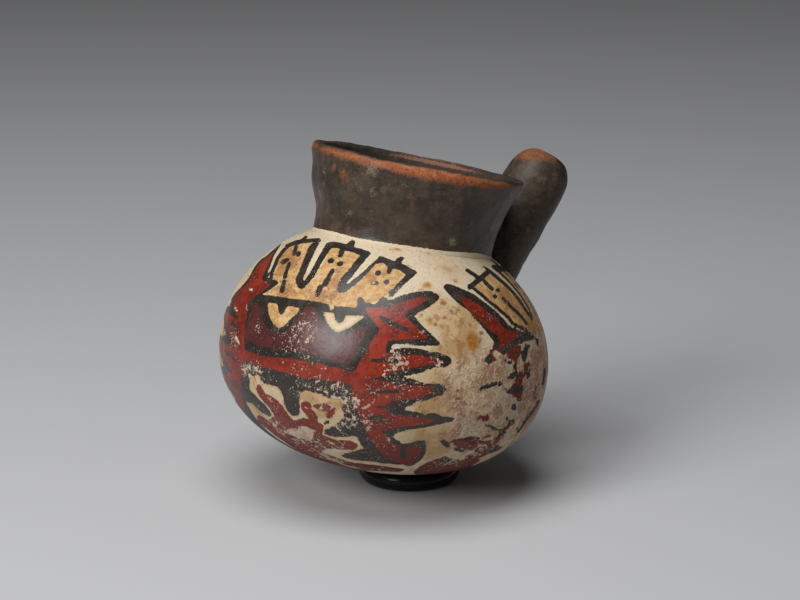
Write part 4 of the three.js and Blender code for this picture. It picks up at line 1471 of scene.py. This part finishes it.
def settle(form, points, quads, rounds=4, most=0.3 * MM):
    """Evens out a net and draws it back onto its form, at most so far in a step."""
    pairs = np.vstack([quads[:, (k, (k + 1) % 4)] for k in range(4)])
    counts = np.bincount(pairs[:, 0], minlength=len(points))
    for step in range(rounds):
        if step:
            means = np.column_stack([np.bincount(pairs[:, 0], points[pairs[:, 1], k], len(points))
                                     for k in range(3)]) / np.maximum(counts, 1)[:, None]
            points = points + 0.5 * (means - points)
        for _ in range(2):
            slope = gradient(form, points)
            push = form(points)[:, None] * slope / np.maximum((slope**2).sum(1), 0.05)[:, None]
            points = points - np.clip(push, -most, most)
    return points


# A wavy unevenness: how many waves it is the sum of, how their sizes vary, and what the sum is
# divided by.
WAVE_COUNT = 14
WAVE_SIZES = (0.7, 1.8)
WAVE_SHARE = 4


def waves(points, size, seed):
    """Smooth, repeatable unevenness between about -1 and 1."""
    random = np.random.default_rng(seed)
    total = np.zeros(len(points))
    for _ in range(WAVE_COUNT):
        direction = random.normal(size=3)
        direction *= math.tau / (size * random.uniform(*WAVE_SIZES)) / np.linalg.norm(direction)
        total += np.sin(points @ direction + random.uniform(0, math.tau))
    return total / WAVE_SHARE


def wander(points, kinds):
    """How far an uneven hand strays at each point: (size of its waves, how far, seed)."""
    return sum(reach * waves(points, size, seed) for size, reach, seed in kinds)


def dark_slip(finish):
    """Burnished charcoal-brown slip, mottled and speckled, rubbed to orange clay along the lips."""
    material, tree, shader, where = finish_material("dark_slip")
    wear, shaded_inside, lime_and_sheen_spots, matt, inner_edge, slip_line = (
        tree.attribute(name)
        for name in ("lip_wear", "inside", "lime_and_sheen_spots", "matt", "inner_edge", "slip_line"))
    mottle = Mottle(tree, where)
    about, plus, part = mottle.about, tree.plus, tree.times
    wiped = tree.add("ShaderNodeMapping", {"Vector": where, "Scale": (1.0, 1.0, 4.0)})
    streak = tree.noise(wiped, 240.0, 4.0, 0.62)
    scratch = tree.noise(wiped, 900.0, 5.0, 0.66)
    rust = tree.noise(where, 120.0, 6.0, 0.68)

    dark, clay = finish.dark, finish.clay
    # Pale lime specks: real lime, and round the front-left spots also painted sheen and highlight.
    lime_and_sheen_specks = plus(scratch, plus(about(mottle.broad, 0.40), part(lime_and_sheen_spots, 0.25)))
    lime_and_sheen_specks = tree.spread(lime_and_sheen_specks, 0.645, 0.72)
    grit = tree.spread(mottle.dust, 0.655, 0.70)
    colour = mottle.coats(
        mottle.between(mottle.blotch, 0.35, 0.68, scaled(dark, 0.62), scaled(dark, 1.6)),
        (mottle.middle, 0.50, 0.68, 0.5, scaled(dark, 2.4)),
        (streak, 0.54, 0.70, 0.55, scaled(dark, 0.45)),
        (rust, 0.60, 0.72, 0.45, RUST))
    colour = tree.mix(part(lime_and_sheen_specks, 0.7), colour, LIME_AND_SHEEN_TINT)
    colour = tree.mix(part(grit, 0.6), colour, GRIT)
    # Painted shade: the inside of the collar and the spout's bore are darkened.
    colour = tree.mix(part(shaded_inside, 0.75), colour, scaled(dark, 0.62))
    colour = mottle.coats(
        colour, (plus(inner_edge, about(mottle.fine, 1.2)), 0.35, 0.75, 0.8, RUBBED_EDGE))

    frayed = plus(about(mottle.middle, 4.5), about(mottle.dust, 3.5))
    worn = tree.spread(plus(wear, frayed), -1.1, 1.1)
    bared = mottle.coats(
        mottle.between(mottle.middle, 0.40, 0.62, clay, scaled(clay, 0.6)),
        (mottle.fine, 0.50, 0.66, 0.6, CLAY_DIRT),
        (mottle.grain, 0.55, 0.70, 0.4, scaled(clay, 1.5)))
    colour = tree.mix(part(worn, tree.minus(0.92, part(matt, 0.42))), colour, bared)
    lapped = tree.spread(plus(slip_line, about(mottle.fine, 0.8)), -0.08, 0.08)
    colour = tree.mix(lapped, colour, cream_ground(tree, mottle, finish, 0.0))
    tree.feed(shader.inputs["Base Color"], colour)

    gloss = tree.spread(mottle.middle, 0.3, 0.7, 0.35, 0.48, smooth=False)
    dull = tree.most(part(worn, 0.8), lime_and_sheen_specks, grit, part(shaded_inside, 0.9), part(lapped, 0.6),
                     part(matt, 0.22))
    rough = tree.add("ShaderNodeMix", {0: dull, 2: gloss, 3: 0.82}, data_type="FLOAT")
    tree.feed(shader.inputs["Roughness"], rough)
    shader.inputs["Specular IOR Level"].default_value = 0.36
    relief = plus(plus(mottle.middle, part(mottle.fine, 0.5)), part(streak, 0.7))
    relief = tree.minus(relief, part(worn, 0.3))
    bump(tree, shader, relief, strength=0.4, distance=0.0003)
    return material


# The net over the collar and spout: its cells, the room round them, how far down it goes from
# the collar's seat, and the height above the shoulder at which the wall may stray.
NET_CELL = 0.62 * MM
NET_MARGIN = 3 * MM
NET_DROP = 16 * MM
STRAY_ABOVE = 2 * MM


def neck_net(form):
    """Points and quads of the collar and spout, as uneven as a hand leaves them."""
    sizes = form.sizes
    lip = sizes.collar_radius + sizes.collar_flare
    tip = form.spout_foot + form.spout_axis * sizes.spout_length
    low = np.array((-lip - NET_MARGIN, -lip - NET_MARGIN, form.seat - NET_DROP))
    high = np.array((tip[0] + sizes.spout_lip_radius + 2 * NET_MARGIN,
                     tip[1] + sizes.spout_lip_radius + 2 * NET_MARGIN,
                     form.seat + sizes.collar_height + 2 * NET_MARGIN))
    high = np.maximum(high, (lip + NET_MARGIN, lip + NET_MARGIN, tip[2] + 2 * NET_MARGIN))
    counts = np.ceil((high - low) / NET_CELL).astype(int)
    lines = [low[k] + NET_CELL * np.arange(counts[k] + 1) for k in range(3)]
    field = np.empty([len(line) for line in lines])
    flat = np.stack(np.meshgrid(lines[1], lines[2], indexing="ij"), -1)
    for row, x in enumerate(lines[0]):
        sheet = np.concatenate((np.full(flat.shape[:2] + (1,), x), flat), -1)
        field[row] = form(sheet)
    points, quads = surface_net(field, low, NET_CELL)
    points = settle(form, points, quads)
    slope = gradient(form, points)
    slope /= np.maximum(np.linalg.norm(slope, axis=1), 0.2)[:, None]
    clear = np.clip(form.body(points) / STRAY_ABOVE, 0, 1)
    return points + slope * (wander(points, NECK_WAVES) * clear)[:, None], quads


def neck_wear(form, points):
    """Kinds of wear, and the lower edge of the dark slip, at each point of the collar and spout."""
    sizes = form.sizes
    across, height = form.collar_section(points)
    half = sizes.wall / 2
    drop = sizes.collar_height - height
    around = np.degrees(np.arctan2(points[:, 1], points[:, 0]))
    worn_depth = np.interp(around, WEAR_BEARINGS, WEAR_DEPTHS)
    lip_wear = worn_depth - np.hypot(2 * np.maximum(half - across, 0), drop - LIP_CREST) / MM
    inner_edge = (bell(np.hypot(half + across, drop) / MM, *INNER_EDGE_DROP)
                  * bell(around, *INNER_EDGE_SIDE))
    spout_rho = form.spout_place(points)[0]
    rise = points @ np.array(jar_place().to_3x3().inverted() @ Vector((0.0, 0.0, 1.0)))
    on_spout = spout_rho < sizes.spout_foot_radius + SPOUT_SKIN
    spout_wear = SPOUT_WORN_DEPTH - (rise[on_spout].max() - rise) / MM
    wear = np.where(on_spout, spout_wear, lip_wear)
    wear = np.maximum(wear, SMUDGE_WEAR * form.spots(points, SMUDGES) - SMUDGE_EDGE)
    slip_line = (SLIP_RISE + SLIP_RISE_FULL_SIDE * form.full_side(points) * (around > -175)
                 + SLIP_RISE_FRONT * bell(around, *SLIP_FRONT)
                 + SLIP_RIPPLE * np.sin(np.radians(SLIP_RIPPLES * around)))
    by_spout = np.clip((sizes.spout_foot_radius - spout_rho) / SPOUT_LEVELLING + 2, 0, 1)
    slip_line += by_spout * (SLIP_RISE_BY_SPOUT - slip_line)
    lapped = np.where(across < 0, -SLIP_LIMIT, slip_line - form.body(points) / MM)
    return {
        "lip_wear": np.clip(wear, *WEAR_LIMITS),
        "inner_edge": inner_edge,
        "slip_line": np.clip(lapped, -SLIP_LIMIT, SLIP_LIMIT),
        # Lime spots, which are also painted sheen and a painted highlight on the front-left.
        "lime_and_sheen_spots": form.spots(points, LIME_AND_SHEEN_SPOTS),
        "matt": on_spout,
        # The inside of the collar and the bore, which the dark slip darkens as painted shade.
        "inside": (across < 0) | (spout_rho < sizes.spout_bore_radius + BORE_SKIN),
    }


class JAR_OT_neck(bpy.types.Operator):
    """Form the flared collar and the side spout with the clay pressed between them."""

    bl_idname = "jar.neck"
    bl_label = "Collar and Spout"

    def execute(self, context):
        sizes, finish = context.scene.jar_sizes, context.scene.jar_finish
        form = NeckForm(sizes)
        points, quads = neck_net(form)
        mesh = bpy.data.meshes.new("dark_neck")
        mesh.from_pydata(points.tolist(), [], quads.tolist())
        mesh.validate()
        mesh.shade_smooth()
        for name, values in neck_wear(form, points).items():
            store(mesh, name, values)
        mesh.materials.append(dark_slip(finish))
        mesh.transform(jar_place())
        neck = bpy.data.objects.new("dark_neck", mesh)
        context.scene.collection.objects.link(neck)
        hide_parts("neck_collar", "rim_coil", "spout_tube", "spout_luting")
        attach(neck, "jar")
        return {"FINISHED"}


def ring_black(finish):
    """Polished black with faint scuffs."""
    material, tree, shader, where = finish_material("black_ring")
    haze = tree.noise(where, 900.0, 4.0, 0.6)
    colour = tree.mix(tree.spread(haze, 0.4, 0.7), finish.ring, scaled(finish.ring, 1.8))
    tree.feed(shader.inputs["Base Color"], colour)
    tree.feed(shader.inputs["Roughness"], tree.spread(haze, 0.3, 0.7, 0.16, 0.30, smooth=False))
    shader.inputs["Specular IOR Level"].default_value = 0.3
    bump(tree, shader, haze, strength=0.15, distance=0.00005)
    return material


class JAR_OT_ring(bpy.types.Operator):
    """Lay the black ring that the jar leans in."""

    bl_idname = "jar.ring"
    bl_label = "Display Ring"

    def execute(self, context):
        sizes, finish = context.scene.jar_sizes, context.scene.jar_finish
        ring = grown("stand_ring", round_ring_tree(ring_black(finish)), labelled(sizes))
        ring.data.transform(Matrix.Translation(RING_CENTRE))
        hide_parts("display_ring")
        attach(ring, "ring")
        return {"FINISHED"}


# Lamps: name, bearing and elevation in degrees, distance and size in metres.
TOP_LAMP = ("top_lamp", -112, 72, 1.1, 0.8)
FRONT_LAMP = ("front_lamp", -130, 31, 1.2, 0.6)
FLOOR_REACH = 6.0


def soft_lamp(name, bearing, elevation, distance, size, power):
    """A round lamp that looks at the jar from a bearing and an elevation, in degrees."""
    turn, lift = math.radians(bearing), math.radians(elevation)
    towards = Vector((math.cos(turn) * math.cos(lift), math.sin(turn) * math.cos(lift),
                      math.sin(lift)))
    lamp = bpy.data.lights.new(name, "AREA")
    lamp.shape = "DISK"
    lamp.size = size
    lamp.energy = power
    obj = bpy.data.objects.new(name, lamp)
    obj.location = JAR_CENTRE + distance * towards
    obj.rotation_euler = (-towards).to_track_quat("-Z", "Y").to_euler()
    bpy.context.scene.collection.objects.link(obj)


def floor_paper(stage):
    """Matt paper with a fine tooth, which casts up only a share of its colour."""
    material, tree, shader, where = finish_material("floor_paper")
    tooth = tree.noise(where, 700.0, 3.0, 0.6)
    paper = tree.mix(tooth, scaled(stage.floor, 0.97), scaled(stage.floor, 1.03))
    seen = tree.most(*(tree.add("ShaderNodeLightPath", out=kind) for kind in
                       ("Is Camera Ray", "Is Glossy Ray", "Is Transmission Ray")))
    colour = tree.mix(seen, scaled(stage.floor, stage.bounce), paper)
    tree.feed(shader.inputs["Base Color"], colour)
    shader.inputs["Roughness"].default_value = 0.8
    return material


class JAR_OT_stage(bpy.types.Operator):
    """Set the floor, the lamps and the camera at the photograph's angle."""

    bl_idname = "jar.stage"
    bl_label = "Floor, Lamps and Camera"

    def execute(self, context):
        scene, stage = context.scene, context.scene.jar_stage
        mesh = bpy.data.meshes.new("floor")
        corners = ((-1, -1), (1, -1), (1, 1), (-1, 1))
        mesh.from_pydata([(x * FLOOR_REACH, y * FLOOR_REACH, 0) for x, y in corners], [],
                         [(0, 1, 2, 3)])
        mesh.materials.append(floor_paper(stage))
        floor = bpy.data.objects.new("floor", mesh)
        scene.collection.objects.link(floor)

        soft_lamp(*TOP_LAMP, stage.top_power)
        soft_lamp(*FRONT_LAMP, stage.front_power)
        world = bpy.data.worlds.new("studio")
        world.use_nodes = True
        sky = world.node_tree.nodes["Background"]
        sky.inputs["Color"].default_value = (1.0, 1.0, 1.0, 1.0)
        sky.inputs["Strength"].default_value = stage.sky
        scene.world = world
        scene.view_settings.view_transform = "Standard"

        _, _, forward, eye = photo_axes()
        lens = bpy.data.cameras.new("camera")
        lens.sensor_width = SENSOR_WIDTH
        lens.lens = FOCAL_PIXELS / PHOTO_WIDTH * SENSOR_WIDTH
        camera = bpy.data.objects.new("camera", lens)
        camera.location = eye
        camera.rotation_euler = forward.to_track_quat("-Z", "Y").to_euler()
        scene.collection.objects.link(camera)
        scene.camera = camera
        return {"FINISHED"}


class JAR_PT_panel(bpy.types.Panel):
    """The jar's steps, sizes, colours and stage in the sidebar."""

    bl_idname = "JAR_PT_panel"
    bl_label = "Spouted Jar"
    bl_space_type = "VIEW_3D"
    bl_region_type = "UI"
    bl_category = "Jar"

    def draw(self, context):
        scene = context.scene
        for operator in OPERATORS:
            self.layout.operator(operator.bl_idname)
        for group in (scene.jar_sizes, scene.jar_finish, scene.jar_stage):
            box = self.layout.box()
            for name in group.__annotations__:
                box.prop(group, name)


GROUPS = (("jar_sizes", JarSizes), ("jar_finish", JarFinish), ("jar_stage", JarStage))
OPERATORS = (JAR_OT_wall, JAR_OT_neck, JAR_OT_ring, JAR_OT_stage)


def register():
    """Adds the property groups, the operators and the panel."""
    for name, group in GROUPS:
        bpy.utils.register_class(group)
        setattr(bpy.types.Scene, name, PointerProperty(type=group))
    for cls in (*OPERATORS, JAR_PT_panel):
        bpy.utils.register_class(cls)


def unregister():
    """Takes them away again."""
    for cls in (JAR_PT_panel, *reversed(OPERATORS)):
        bpy.utils.unregister_class(cls)
    for name, group in reversed(GROUPS):
        delattr(bpy.types.Scene, name)
        bpy.utils.unregister_class(group)


def main():
    register()
    bpy.ops.jar.stage()
    bpy.ops.jar.wall()
    bpy.ops.jar.neck()
    bpy.ops.jar.ring()


if __name__ == "__main__":
    main()
